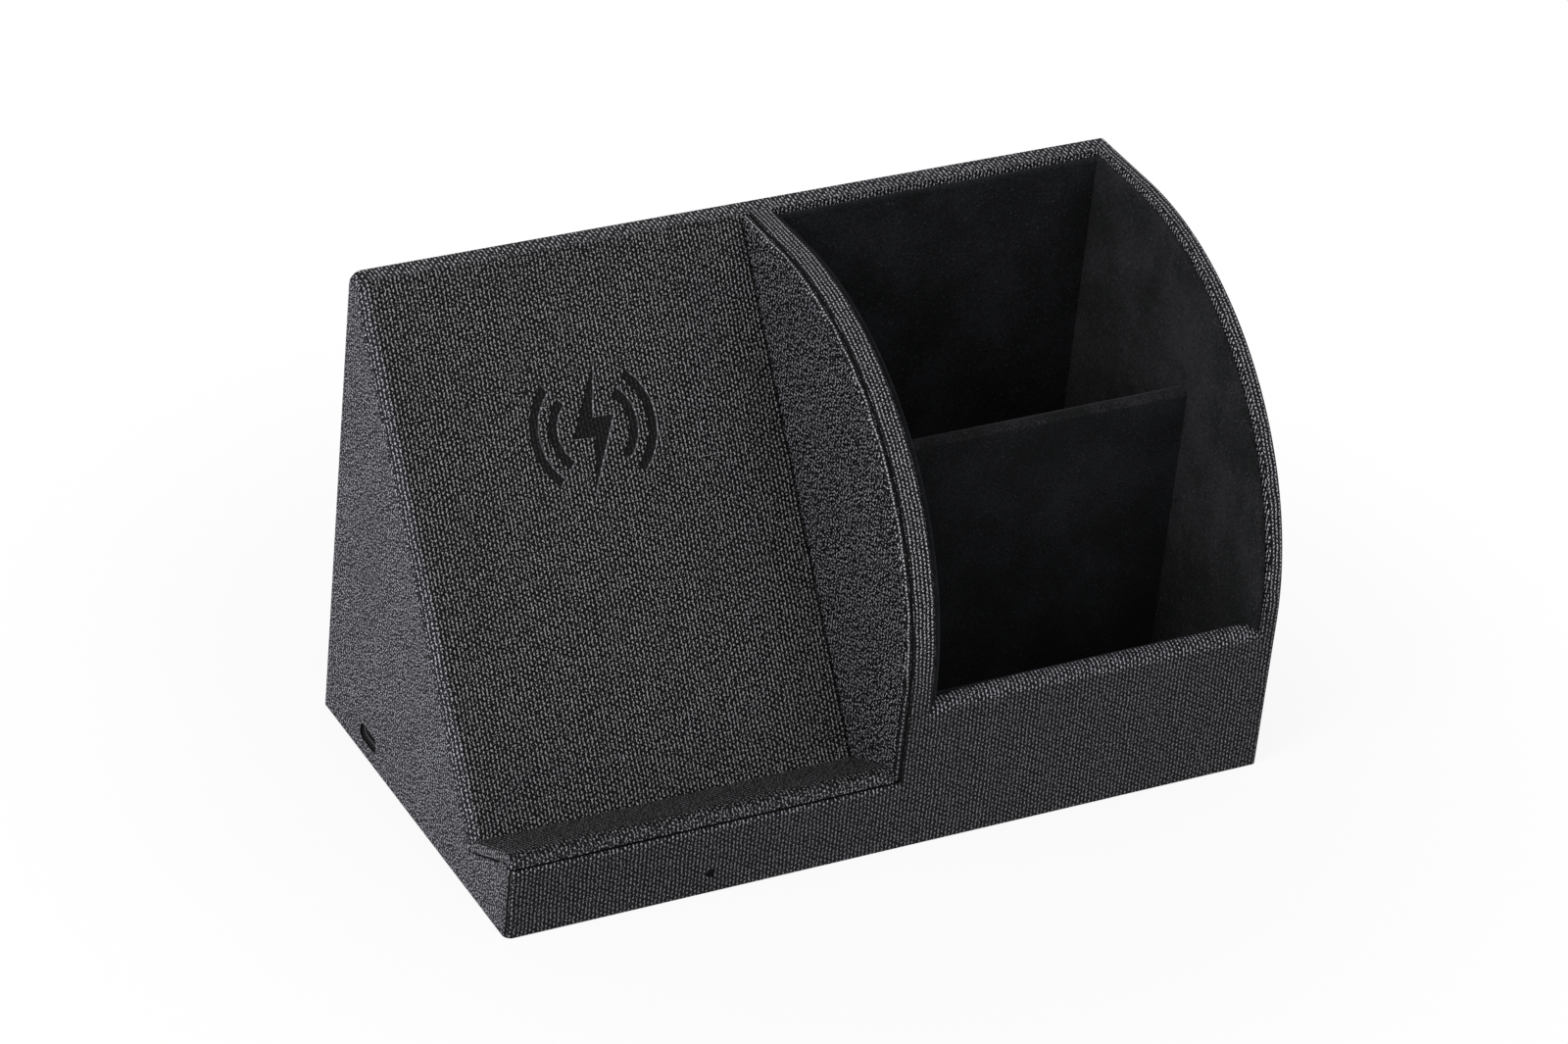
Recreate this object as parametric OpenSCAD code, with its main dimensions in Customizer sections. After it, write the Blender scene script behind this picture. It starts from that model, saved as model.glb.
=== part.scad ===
// Desk pen holder with a charging slope for a phone.
// A board carcass is wrapped in leatherette: the left half is a wedge with the
// charging slope and its ledge, the right half is a velvet-lined well for pens.
// X runs to the right, Y to the back and Z up. The origin is the centre of the base.

/* [Case] */
// Overall width
case_w = 200; // [180:1:230]
// Overall depth
case_d = 101; // [98:1:120]
// Overall height
case_h = 119; // [112:1:135]
// Radius of the case's vertical corners
corner_r = 2; // [1.2:0.1:3]
// Radius of the curved front edge of the side wall and the divider, per height
curve_share = 0.6555; // [0.62:0.0005:0.66]
// Finished thickness of the front wall and the side wall
wall_t = 4; // [3.4:0.1:6]
// Finished thickness of the back wall
back_t = 5.5; // [4:0.1:7]
// Thickness of the left end board
end_board_t = 2.8; // [2:0.1:4]
// Thickness of the base board
base_board_t = 2.7; // [2:0.1:4]
// Thickness of the felt under the base
felt_t = 0.6; // [0.4:0.1:1]
// Thickness of the leatherette
skin_t = 0.6; // [0.4:0.1:0.9]
// Depth that the leatherette is turned in over a rim
turn_in = 12; // [8:1:16]

/* [Charging half] */
// Width of the charging half, from the left end to the divider
charger_w = 100; // [92:1:108]
// Height of the fold between the slope and the ledge
fold_h = 14; // [12:0.5:18]
// Depth of the ledge, from the case's front to the fold
ledge_d = 19.6; // [17:0.1:22]
// Rise of the ledge towards the front, in degrees
ledge_tilt = 26; // [20:1:30]
// Finished thickness of the ledge
ledge_t = 2.4; // [2.2:0.1:3.2]
// Radius of the ledge's rounded front
nose_r = 3; // [2.6:0.1:4]
// Dark slit between the ledge and the walls under it
slit = 0.3; // [0.2:0.05:0.5]
// Radius of the rounded left edge of the slope and the top
edge_r = 3; // [2:0.1:4]
// Thickness of the slope board
slope_board_t = 2.8; // [2:0.1:3.4]
// Width and height of the batten under the slope board
batten_s = 8; // [5:0.5:10]
// Clear length at each end of the batten
batten_gap = 24; // [22:1:34]

/* [Divider] */
// Finished thickness of the divider
divider_t = 6; // [4:0.1:8]
// Finished thickness of the panel on the divider's left face
panel_t = 1.8; // [1.4:0.1:2.6]
// Step between the divider's rim and the panel's edge
panel_step = 0.5; // [0.3:0.1:1]

/* [Pen well] */
// Height of the front wall at the well, per height of the case
well_front_share = 0.336; // [0.28:0.0005:0.34]
// Radius of the front edge of that wall's rounded top
rim_front_r = 2.9; // [1.8:0.1:2.9]
// Radius of the back edge of that wall's rounded top
rim_back_r = 1.1; // [0.9:0.1:1.3]
// Thickness of the card in the liners
card_t = 1.4; // [1:0.1:2]
// Thickness of the velvet
velvet_t = 0.6; // [0.4:0.1:0.9]
// Step between a rim and the top of its liner
liner_step = 1.5; // [1:0.1:2.5]
// Finished thickness of the cross divider
cross_t = 4; // [3:0.1:6]
// Height of the cross divider's top above the table
cross_h = 82; // [60:1:90]
// Distance of the cross divider's front face from the case's front
cross_y = 42; // [34:1:46]

/* [Charging module] */
// Gap between the module's cup and the back wall
module_gap = 1.3; // [0.8:0.1:6]
// Outer diameter of the coil
coil_d = 42; // [36:1:43]
// Inner diameter of the coil
coil_bore_d = 20; // [16:1:24]
// Thickness of the coil
coil_t = 1.4; // [1:0.1:1.6]
// Width by which the ferrite sheet, the pad and the circuit board pass the coil
disc_margin = 2; // [1:0.1:3]
// Thickness of the ferrite sheet
ferrite_t = 0.8; // [0.5:0.1:1]
// Thickness of the foam pad
foam_t = 1; // [0.6:0.1:1.2]
// Thickness of the circuit boards
board_t = 1; // [0.8:0.1:1.2]
// Gap between these round sheets and the module's cup
cup_gap = 1.8; // [1:0.1:2.4]
// Wall of the module's cup and its face
cup_wall = 1.2; // [1:0.1:1.6]
// Room for the parts on the circuit board
parts_h = 3.2; // [3:0.1:3.6]
// Thickness of the module's lid
lid_t = 1.2; // [1:0.1:1.4]
// Width of the module's flange
flange_w = 5.5; // [5:0.1:7]
// Thickness of the module's flange
flange_t = 1.4; // [1:0.1:1.8]
// Diameter of the hole in the lid for the leads
lead_hole_d = 5; // [4.4:0.1:6]
// Distance of the lead hole's centre from the lid's edge
lead_hole_edge = 8.8; // [6:0.1:10]

/* [Inlet] */
// Distance of the inlet from the case's back
inlet_y = 24.8; // [20:0.1:26]
// Length of the inlet slot
inlet_l = 10; // [9.8:0.1:12]
// Height of the inlet slot
inlet_h = 4.8; // [4:0.1:5]
// Width of the socket's shell
socket_w = 9; // [8.6:0.1:9.4]
// Height of the socket's shell
socket_h = 3.2; // [3:0.1:3.4]
// Length of the socket's shell
socket_l = 7.4; // [7:0.1:10]
// Wall of the socket's shell
socket_wall = 0.3; // [0.2:0.05:0.4]
// Depth of the socket's mouth behind the end face
socket_depth = 1.5; // [1:0.1:2.4]
// Length of the inlet board
inlet_board_l = 16; // [14:1:22]
// Width of the inlet board
inlet_board_w = 16; // [15:1:20]

/* [Indicator] */
// Distance of the light hole from the case's left end
light_x = 51.8; // [46:0.1:53]
// Height of the light hole
light_z = 5.3; // [4.8:0.1:7]
// Diameter of the light hole
light_d = 2; // [1.6:0.1:2.4]
// Recess of the light pipe in its hole
light_recess = 0.3; // [0.2:0.1:0.6]
// Width of the light chip and of the light pipe's seat on it
chip_w = 3; // [2.6:0.1:3.4]
// Depth of the light chip
chip_t = 1.2; // [0.8:0.1:1.6]
// Width of the indicator board
light_board_w = 12; // [9:0.5:16]

/* [Fixings and leads] */
// Clearance between pieces that are set in beside each other
fit = 0.1; // [0.05:0.05:0.15]
// Diameter of the screws
screw_d = 2; // [1.6:0.1:2.2]
// Diameter of the screw heads
head_d = 3.6; // [3:0.1:4]
// Thickness of the screw heads
head_t = 1; // [0.8:0.1:1.2]
// Diameter of the leads
lead_d = 1.2; // [0.8:0.1:1.4]
// Radius of the leads' bends
lead_bend = 2.4; // [2:0.1:3]
// Straight length of a lead where it leaves a board or the module
lead_out = 5; // [4.5:0.1:6]

/* [Pictogram] */
// Height of the bolt
bolt_h = 25.5; // [20:0.5:32]
// Width of the bolt
bolt_w = 10; // [8:0.5:14]
// Radius of the inner arcs
arc_inner_r = 10.3; // [8:0.1:12]
// Radius of the outer arcs
arc_outer_r = 15; // [13:0.1:18]
// Width of the arcs
arc_w = 1.5; // [1:0.1:2.2]
// Half angle of the arcs, in degrees
arc_half = 44; // [30:1:55]
// Depth of the pressed pictogram
press_d = 0.35; // [0.2:0.05:0.4]

/* [Hidden] */

// Overrun of every cut, and the reach of every half plane
over = 1;
reach = 4 * case_w;
// Sides of a lead, and steps of each of its bends
lead_sides = 12;
bend_steps = 5;
$fn = 96;

// Colours
leatherette = "#2a2a2d";
velvet = "#0c0c0d";
board = "#a98a62";
card = "#8f8a82";

// Faces of the case
left_x = -case_w / 2;
right_x = case_w / 2;
front_y = -case_d / 2;
back_y = case_d / 2;
core_back_y = back_y - back_t;
core_front_y = front_y + wall_t;
board_front_y = front_y + skin_t;
front_board_back_y = front_y + wall_t - skin_t;
back_board_front_y = core_back_y + skin_t;
base_top = felt_t + base_board_t;

// Curved front edge
curve_r = case_h * curve_share;
curve_y = front_y + curve_r;
curve_z = case_h - curve_r;

// Divider and side wall
divider_x = left_x + charger_w;
divider_right = divider_x + divider_t;
side_left = right_x - wall_t;
end_board_right = left_x + skin_t + end_board_t;

// The slope runs from the fold to the front edge of the back rim
fold_y = front_y + ledge_d;
slope_a = atan2(case_h - fold_h, core_back_y - fold_y);
slope_l = norm([case_h - fold_h, core_back_y - fold_y]);
mitre_a = (slope_a + 180 - ledge_tilt) / 2;
slope_core_n = skin_t + slope_board_t;

// The ledge lies on the low front wall
ledge_seat_z = fold_h + (fold_y - front_board_back_y) * tan(ledge_tilt)
    - ledge_t / cos(ledge_tilt);
low_front_h = ledge_seat_z - slit;
nose_y = front_y + nose_r;
nose_run = (fold_y - nose_y - nose_r * sin(ledge_tilt)) / cos(ledge_tilt);
nose_z = fold_h + nose_run * sin(ledge_tilt) - nose_r * cos(ledge_tilt);
ledge_right = divider_x - panel_t - fit;

// Well and its liners
well_front_h = case_h * well_front_share;
liner_t = card_t + velvet_t;
well_left = divider_right + liner_t;
well_right = side_left - liner_t;
well_front = core_front_y + liner_t;
well_back = core_back_y - liner_t;
floor_z = base_top + liner_t;
cross_front = front_y + cross_y;
cross_back = cross_front + cross_t;

// Charging module, at depths below the slope's face
coil_x = (left_x + divider_x - panel_t) / 2;
face_n = skin_t + cup_wall;
coil_n = face_n + coil_t;
ferrite_n = coil_n + ferrite_t;
foam_n = ferrite_n + foam_t;
charger_board_n = foam_n + board_t;
lid_n = charger_board_n + parts_h;
cup_n = lid_n + lid_t;
flange_n = slope_core_n + flange_t;
disc_d = coil_d + 2 * disc_margin;
cup_bore_d = disc_d + 2 * cup_gap;
cup_d = cup_bore_d + 2 * cup_wall;
flange_d = cup_d + 2 * flange_w;
screw_circle_d = (cup_d + flange_d) / 2;
lead_hole_off = cup_bore_d / 2 - lead_hole_edge;
// Distance of the coil's centre up the slope from the fold, the cup a gap before the back wall
coil_up = (core_back_y - module_gap - fold_y - cup_n * sin(slope_a)) / cos(slope_a) - cup_d / 2;
screw_bite_share = 0.8;
screw_bite = slope_board_t * screw_bite_share;
screw_angles = [45, 135, 225, 315];

// Inlet
inlet_centre_y = back_y - inlet_y;
inlet_z = base_top + board_t + socket_h / 2;
socket_x = left_x + socket_depth;
inlet_board_x = end_board_right + fit;
tongue_share = [0.7, 0.7, 0.22];

// Indicator
light_centre_x = left_x + light_x;
light_board_top = light_z + (light_z - base_top);
chip_front_y = front_board_back_y;
chip_back_y = chip_front_y + chip_t;

// Leads, side by side with a gap of half their diameter
lead_pitch = 1.5 * lead_d;
power_pad_x = inlet_board_x + inlet_board_l - 2 * head_d;

// A place given across, up the slope from the fold, and by its depth below the slope's face
function slope_place(x, up, depth) = [
    x,
    fold_y + up * cos(slope_a) + depth * sin(slope_a),
    fold_h + up * sin(slope_a) - depth * cos(slope_a)
];

function unit(v) = v / norm(v);

// Block between two corners
module block(low, high) {
    translate(low) cube(high - low);
}

// A (y, z) outline drawn out along X
module along_x(x0, x1) {
    translate([x0, 0, 0]) rotate([90, 0, 90]) linear_extrude(x1 - x0) children();
}

// An (x, z) outline drawn out along Y
module along_y(y0, y1) {
    translate([0, y1, 0]) rotate([90, 0, 0]) linear_extrude(y1 - y0) children();
}

// Slope frame: X across, Y up the slope from the fold, Z out of its face
module on_slope() {
    translate([0, fold_y, fold_h]) rotate([slope_a, 0, 0]) children();
}

// Module frame: on the slope, centred on the coil
module on_coil() {
    on_slope() translate([coil_x, coil_up, 0]) children();
}

// Disc below the slope's face, between two depths
module disc(d, n0, n1) {
    translate([0, 0, -n1]) cylinder(d = d, h = n1 - n0);
}

// Rectangle between two corners
module rect(low, high) {
    translate(low) square(high - low);
}

// Half plane of the (y, z) plane past a line through the fold
module past(angle, offset) {
    translate([fold_y, fold_h]) rotate(angle) translate([-reach, offset])
        square([2 * reach, reach]);
}

// What a round corner takes off, its centre at the origin and the corner at +X +Y
module corner_cut(r) {
    difference() {
        square(r + over);
        circle(r = r);
    }
}

// Outline of the case seen from above, set in by an amount
module footprint(inset) {
    r = corner_r - inset;
    difference() {
        rect([left_x + inset, front_y + inset], [right_x - inset, back_y - inset]);
        for (sx = [-1, 1], sy = [-1, 1])
            translate([sx * (right_x - inset - r), sy * (back_y - inset - r)])
                scale([sx, sy]) corner_cut(r);
    }
}

// Outline of the case seen from the front, with the rounded top left edge
module elevation(inset) {
    r = edge_r - inset;
    difference() {
        rect([left_x + inset, -over * sign(inset)], [right_x - inset, case_h - inset]);
        translate([left_x + inset + r, case_h - inset - r]) mirror([1, 0]) corner_cut(r);
    }
}

// The case as one block, set in by an amount
module case_block(inset) {
    intersection() {
        translate([0, 0, -over]) linear_extrude(case_h + 2 * over) footprint(inset);
        along_y(front_y - over, back_y + over) elevation(inset);
    }
}

// Outer sheet of the wrap, with its bottom open
module wrap_sheet() {
    difference() {
        case_block(0);
        case_block(skin_t);
    }
}

// Outline of a wall with the curved front edge, set in by an amount
module curved_wall(inset, y1, z0) {
    difference() {
        rect([front_y + inset, z0], [y1, case_h - inset]);
        difference() {
            rect([front_y - over, curve_z], [curve_y, case_h + over]);
            translate([curve_y, curve_z]) circle(r = curve_r - inset);
        }
    }
}

// Band of a given depth along the curved edge and the top of such a wall
module rim_band(inset, depth, y1, z0) {
    difference() {
        curved_wall(inset, y1, z0);
        curved_wall(inset + depth, y1 + over, z0 - over);
    }
}

// Trough over the slope and the ledge, sunk by an amount below each, up to a Y place
module trough(slope_depth, ledge_depth, y1) {
    intersection() {
        past(slope_a, -slope_depth);
        past(-ledge_tilt, -ledge_depth);
        rect([front_y - over, 0], [y1, case_h + over]);
    }
}

// Space above the low front wall, from a height
module over_low_front(z) {
    rect([front_y - over, z], [front_board_back_y, case_h]);
}

// Section of the ledge, set in by an amount
module ledge_section(inset) {
    intersection() {
        difference() {
            union() {
                past(-ledge_tilt, inset - ledge_t);
                over_low_front(ledge_seat_z + inset);
            }
            past(-ledge_tilt, -inset);
        }
        past(mitre_a, fit / 2);
        union() {
            rect([nose_y, 0], [back_y, case_h]);
            translate([nose_y, nose_z]) circle(r = nose_r - inset);
        }
    }
}

// Side of the slope behind the mitre at the fold, clear of the back rim
module behind_mitre() {
    along_x(left_x - over, right_x) difference() {
        rect([front_y, 0], [core_back_y - fit, case_h]);
        past(mitre_a, -fit / 2);
    }
}

// Section across the slope, with the rounded left edge, down to a depth
module slope_section(inset, depth) {
    r = edge_r - inset;
    difference() {
        rect([left_x + inset, -depth], [divider_x - fit, -inset]);
        translate([left_x + inset + r, -inset - r]) mirror([1, 0]) corner_cut(r);
    }
}

// The same section drawn out up the slope and cut to length
module slope_sheet(inset, depth) {
    intersection() {
        on_slope() along_y(-reach / 2, reach / 2) slope_section(inset, depth);
        behind_mitre();
    }
}

// Slot with round ends, centred, long side along X
module slot(l, h) {
    square([l - h, h], center = true);
    for (s = [-1, 1]) translate([s * (l - h) / 2, 0]) circle(d = h);
}

// Slot in the inlet's plane, drawn out along X
module inlet_slot(l, h, x0, x1) {
    translate([0, inlet_centre_y, inlet_z]) along_x(x0, x1) slot(l, h);
}

// Pan-head screw with its seat at the origin and its shank along +Z
module screw(l) {
    cylinder(d = screw_d, h = l);
    translate([0, 0, -head_t]) cylinder(d = head_d, h = head_t);
}

// A lead's route: straight runs through a list of places, with a round bend at each turn
function bend_points(a, b, c) = let (
    u = unit(b - a),
    v = unit(c - b),
    inward = unit(v - u * (u * v)),
    turned = acos(u * v),
    start = b - lead_bend * tan(turned / 2) * u
) [for (i = [0 : bend_steps]) let (t = turned * i / bend_steps)
    start + lead_bend * (u * sin(t) + inward * (1 - cos(t)))];

function route(places) = [
    places[0],
    for (i = [1 : len(places) - 2]) each bend_points(places[i - 1], places[i], places[i + 1]),
    places[len(places) - 1]
];

// Direction of a route at one of its points, and a side direction carried along it
function heading(p, i) = unit(p[min(i + 1, len(p) - 1)] - p[max(i - 1, 0)]);
function carried(p, i, side) = i == len(p) ? [] : let (
    t = heading(p, i),
    n = unit(side - t * (side * t))
) [n, each carried(p, i + 1, n)];

// One lead as a tube along its route, its first side direction given
module lead(places, side) {
    p = route(places);
    sides = carried(p, 0, side);
    points = [for (i = [0 : len(p) - 1], j = [0 : lead_sides - 1]) let (a = 360 * j / lead_sides)
        p[i] + lead_d / 2 * (sides[i] * cos(a) + cross(heading(p, i), sides[i]) * sin(a))];
    faces = [for (i = [0 : len(p) - 2], j = [0 : lead_sides - 1]) let (
        k = (j + 1) % lead_sides,
        low = i * lead_sides,
        high = low + lead_sides
    ) [low + j, high + j, high + k, low + k]];
    polyhedron(points, [
        [for (j = [0 : lead_sides - 1]) j],
        each faces,
        [for (j = [lead_sides - 1 : -1 : 0]) len(points) - lead_sides + j]
    ]);
}

// Section of the front wall at the well, from a height, with its rounded top, set in by an amount
module well_front_section(inset, z0) {
    front_r = rim_front_r - inset;
    rear_r = rim_back_r - inset;
    top = well_front_h - inset;
    difference() {
        rect([front_y + inset, z0], [core_front_y - inset, top]);
        translate([front_y + inset + front_r, top - front_r]) mirror([1, 0]) corner_cut(front_r);
        translate([core_front_y - inset - rear_r, top - rear_r]) corner_cut(rear_r);
    }
}

// Base

module base_felt() {
    color("#1a1a1b") linear_extrude(felt_t) footprint(skin_t);
}

module base_board() {
    color(board) block(
        [end_board_right, front_board_back_y, felt_t],
        [side_left + skin_t, back_board_front_y, base_top]);
}

// Wall boards

module front_board() {
    color(board) difference() {
        union() {
            block([end_board_right, board_front_y, felt_t],
                [side_left + skin_t, front_board_back_y, low_front_h - skin_t]);
            along_x(divider_right, side_left + skin_t) well_front_section(skin_t, felt_t);
        }
        light_hole();
    }
}

module back_board() {
    color(board) intersection() {
        case_block(skin_t);
        block([left_x, back_board_front_y, felt_t], [right_x, back_y, case_h]);
    }
}

module end_board() {
    color(board) difference() {
        intersection() {
            case_block(skin_t);
            along_x(left_x, end_board_right) difference() {
                rect([front_y, felt_t], [back_board_front_y, case_h]);
                trough(slope_core_n, ledge_t, back_y);
                over_low_front(low_front_h - skin_t);
            }
        }
        inlet_slot(inlet_l, inlet_h, left_x - over, end_board_right + over);
    }
}

module side_board() {
    color(board) intersection() {
        case_block(skin_t);
        along_x(side_left + skin_t, right_x)
            curved_wall(skin_t, back_board_front_y, felt_t);
    }
}

module divider_board() {
    color(board) along_x(divider_x + skin_t, divider_right - skin_t) difference() {
        curved_wall(skin_t, back_board_front_y, base_top);
        rect([front_y, 0], [front_board_back_y, low_front_h - skin_t]);
    }
}

module cross_section_top(inset) {
    r = cross_t / 2 - inset;
    rect([cross_front + inset, floor_z], [cross_back - inset, cross_h - cross_t / 2]);
    translate([cross_front + cross_t / 2, cross_h - cross_t / 2]) circle(r = r);
}

module cross_board() {
    color(board) along_x(well_left, well_right) cross_section_top(velvet_t);
}

// Slope and ledge

module slope_board() {
    color(board) difference() {
        intersection() {
            slope_sheet(skin_t, slope_core_n);
            case_block(skin_t);
        }
        on_coil() disc(cup_d + 2 * fit, 0, slope_core_n + over);
        on_coil() screw_places() disc(screw_d, slope_core_n - screw_bite, slope_core_n + over);
    }
}

module slope_batten() {
    color(board) on_slope() block(
        [divider_x - batten_s, batten_gap, -slope_core_n - batten_s],
        [divider_x, slope_l - batten_gap, -slope_core_n]);
}

module ledge_board() {
    color(card) along_x(left_x + skin_t, ledge_right - skin_t) ledge_section(skin_t);
}

// Leatherette covers

module light_hole() {
    translate([light_centre_x, 0, light_z]) along_y(front_y - over, front_board_back_y + over)
        circle(d = light_d);
}

module front_cover() {
    color(leatherette) difference() {
        union() {
            intersection() {
                wrap_sheet();
                union() {
                    block([left_x, front_y, 0],
                        [divider_x, front_y + corner_r, low_front_h]);
                    block([divider_x, front_y, 0],
                        [divider_right, front_y + corner_r, well_front_h]);
                    block([side_left, front_y, 0],
                        [right_x, front_y + corner_r, well_front_h]);
                }
            }
            intersection() {
                case_block(0);
                block([left_x, front_y, low_front_h - skin_t],
                    [divider_x, front_board_back_y, low_front_h]);
            }
            along_x(divider_right, side_left) difference() {
                well_front_section(0, 0);
                well_front_section(skin_t, -over);
                rect([board_front_y, -over], [core_front_y + over, well_front_h - turn_in]);
            }
        }
        light_hole();
    }
}

module back_cover() {
    color(leatherette) {
        intersection() {
            wrap_sheet();
            union() {
                block([left_x, back_y - corner_r, 0], [right_x, back_y, case_h]);
                block([left_x, core_back_y, case_h - edge_r], [right_x, back_y, case_h]);
            }
        }
        block([end_board_right, core_back_y, case_h - turn_in],
            [divider_x, back_board_front_y, case_h]);
        block([divider_right, core_back_y, case_h - turn_in],
            [side_left, back_board_front_y, case_h]);
    }
}

module end_cover() {
    color(leatherette) difference() {
        along_x(left_x, left_x + skin_t) difference() {
            rect([front_y + corner_r, 0], [back_y - corner_r, case_h - edge_r]);
            trough(edge_r, ledge_t + slit, core_back_y);
            over_low_front(low_front_h);
        }
        inlet_slot(inlet_l, inlet_h, left_x - over, left_x + skin_t + over);
    }
}

module side_cover() {
    color(leatherette) {
        intersection() {
            wrap_sheet();
            along_x(side_left, right_x) difference() {
                curved_wall(0, back_y - corner_r, 0);
                rect([front_y - over, -over], [front_y + corner_r, well_front_h]);
                rect([core_back_y, case_h - edge_r], [back_y, case_h + over]);
            }
        }
        intersection() {
            case_block(0);
            along_x(side_left, right_x) rim_band(0, skin_t, core_back_y, well_front_h);
        }
        along_x(side_left, side_left + skin_t) difference() {
            rim_band(skin_t, turn_in - skin_t, core_back_y, base_top);
            rect([front_y - over, -over], [front_board_back_y, well_front_h]);
        }
    }
}

module divider_cover() {
    color(leatherette) {
        along_x(divider_x, divider_right) rim_band(0, skin_t, core_back_y, well_front_h);
        along_x(divider_x, divider_x + skin_t) difference() {
            curved_wall(skin_t, core_back_y, base_top);
            rect([front_y - over, 0], [front_board_back_y, low_front_h]);
        }
        along_x(divider_right - skin_t, divider_right) difference() {
            rim_band(skin_t, turn_in - skin_t, core_back_y, base_top);
            rect([front_y - over, 0], [front_board_back_y, low_front_h]);
        }
    }
}

module slope_cover() {
    color(leatherette) difference() {
        intersection() {
            difference() {
                slope_sheet(0, edge_r);
                slope_sheet_core();
            }
            case_block(0);
        }
        on_coil() pictogram();
    }
}

// Space inside the slope's sheet
module slope_sheet_core() {
    on_slope() along_y(-reach, reach) difference() {
        rect([left_x + skin_t, -reach], [divider_x + over, -skin_t]);
        translate([left_x + edge_r, -edge_r]) mirror([1, 0]) corner_cut(edge_r - skin_t);
    }
}

// Pressed charging pictogram: a bolt between two pairs of arcs
module pictogram() {
    translate([0, 0, -press_d]) linear_extrude(press_d + over) {
        bolt();
        for (facing = [0, 180]) rotate(facing) {
            arc(arc_inner_r);
            arc(arc_outer_r);
        }
    }
}

module arc(r) {
    spread = (r + arc_w) / cos(arc_half);
    intersection() {
        difference() {
            circle(r = r + arc_w / 2);
            circle(r = r - arc_w / 2);
        }
        polygon([
            [0, 0],
            [spread * cos(arc_half), -spread * sin(arc_half)],
            [spread * cos(arc_half), spread * sin(arc_half)]
        ]);
    }
}

// Corners of the bolt as shares of its width and height
bolt_shares = [
    [0.2, 0.5], [-0.5, -0.07], [-0.02, -0.07], [-0.24, -0.5], [0.48, 0.075], [-0.05, 0.075]
];

module bolt() {
    polygon([for (p = bolt_shares) [p[0] * bolt_w, p[1] * bolt_h]]);
}

module ledge_cover() {
    color(leatherette) difference() {
        along_x(left_x, ledge_right) ledge_section(0);
        along_x(left_x + skin_t, ledge_right - skin_t) ledge_section(skin_t);
    }
}

// Panel on the divider's left face

module panel_outline(inset) {
    intersection() {
        curved_wall(panel_step + inset, core_back_y - fit, base_top);
        union() {
            past(-ledge_tilt, -ledge_t);
            over_low_front(ledge_seat_z);
        }
        past(slope_a, fit);
    }
}

module panel_card() {
    color(card) along_x(divider_x - panel_t + skin_t, divider_x) panel_outline(skin_t);
}

module panel_cover() {
    color(leatherette) difference() {
        along_x(divider_x - panel_t, divider_x) panel_outline(0);
        along_x(divider_x - panel_t + skin_t, divider_x + over) panel_outline(skin_t);
    }
}

// Liners of the well

// Upright liner between two X places, its top under the curved rim
module curved_liner(x0, x1, inset) {
    along_x(x0, x1) difference() {
        curved_wall(inset, core_back_y, base_top);
        rect([front_y, 0], [core_front_y, well_front_h + velvet_t]);
    }
}

module left_liner_card() {
    color(card) curved_liner(divider_right, divider_right + card_t, liner_step + velvet_t);
}

module left_liner_velvet() {
    color(velvet) {
        curved_liner(divider_right + card_t, well_left, liner_step);
        liner_cap(divider_right, well_left);
    }
}

module right_liner_card() {
    color(card) curved_liner(side_left - card_t, side_left, liner_step + velvet_t);
}

module right_liner_velvet() {
    color(velvet) {
        curved_liner(well_right, side_left - card_t, liner_step);
        liner_cap(well_right, side_left);
    }
}

// Velvet turned over a curved liner's top edge
module liner_cap(x0, x1) {
    along_x(x0, x1) rim_band(liner_step, velvet_t, core_back_y, well_front_h + velvet_t);
}

module front_liner_card() {
    color(card) block([well_left, core_front_y, base_top],
        [well_right, core_front_y + card_t, well_front_h - liner_step - velvet_t]);
}

module front_liner_velvet() {
    color(velvet) {
        block([well_left, core_front_y + card_t, base_top],
            [well_right, well_front, well_front_h - liner_step]);
        block([well_left, core_front_y, well_front_h - liner_step - velvet_t],
            [well_right, well_front, well_front_h - liner_step]);
    }
}

module back_liner_card() {
    color(card) block([well_left, core_back_y - card_t, base_top],
        [well_right, core_back_y, case_h - liner_step - velvet_t]);
}

module back_liner_velvet() {
    color(velvet) {
        block([well_left, well_back, base_top],
            [well_right, core_back_y - card_t, case_h - liner_step]);
        block([well_left, well_back, case_h - liner_step - velvet_t],
            [well_right, core_back_y, case_h - liner_step]);
    }
}

module floor_card() {
    color(card) block([well_left, well_front, base_top],
        [well_right, well_back, base_top + card_t]);
}

module floor_velvet() {
    color(velvet) block([well_left, well_front, base_top + card_t],
        [well_right, well_back, floor_z]);
}

module cross_velvet() {
    color(velvet) along_x(well_left, well_right) difference() {
        cross_section_top(0);
        cross_section_top(velvet_t);
    }
}

// Charging module

module screw_places() {
    for (a = screw_angles) rotate(a) translate([screw_circle_d / 2, 0, 0]) children();
}

module module_case() {
    color("#e4e4e0") on_coil() difference() {
        union() {
            disc(cup_d, skin_t, cup_n);
            disc(flange_d, slope_core_n, flange_n);
        }
        disc(cup_bore_d, face_n, cup_n + over);
        screw_places() disc(screw_d, slope_core_n - over, flange_n + over);
    }
}

module charging_coil() {
    color("#b87333") on_coil() difference() {
        disc(coil_d, face_n, coil_n);
        disc(coil_bore_d, face_n - over, coil_n + over);
    }
}

module ferrite_sheet() {
    color("#3b3b3d") on_coil() disc(disc_d, coil_n, ferrite_n);
}

module foam_pad() {
    color("#d8d4c8") on_coil() disc(disc_d, ferrite_n, foam_n);
}

module charger_board() {
    color("#1e6b3a") on_coil() disc(disc_d, foam_n, charger_board_n);
}

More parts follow.
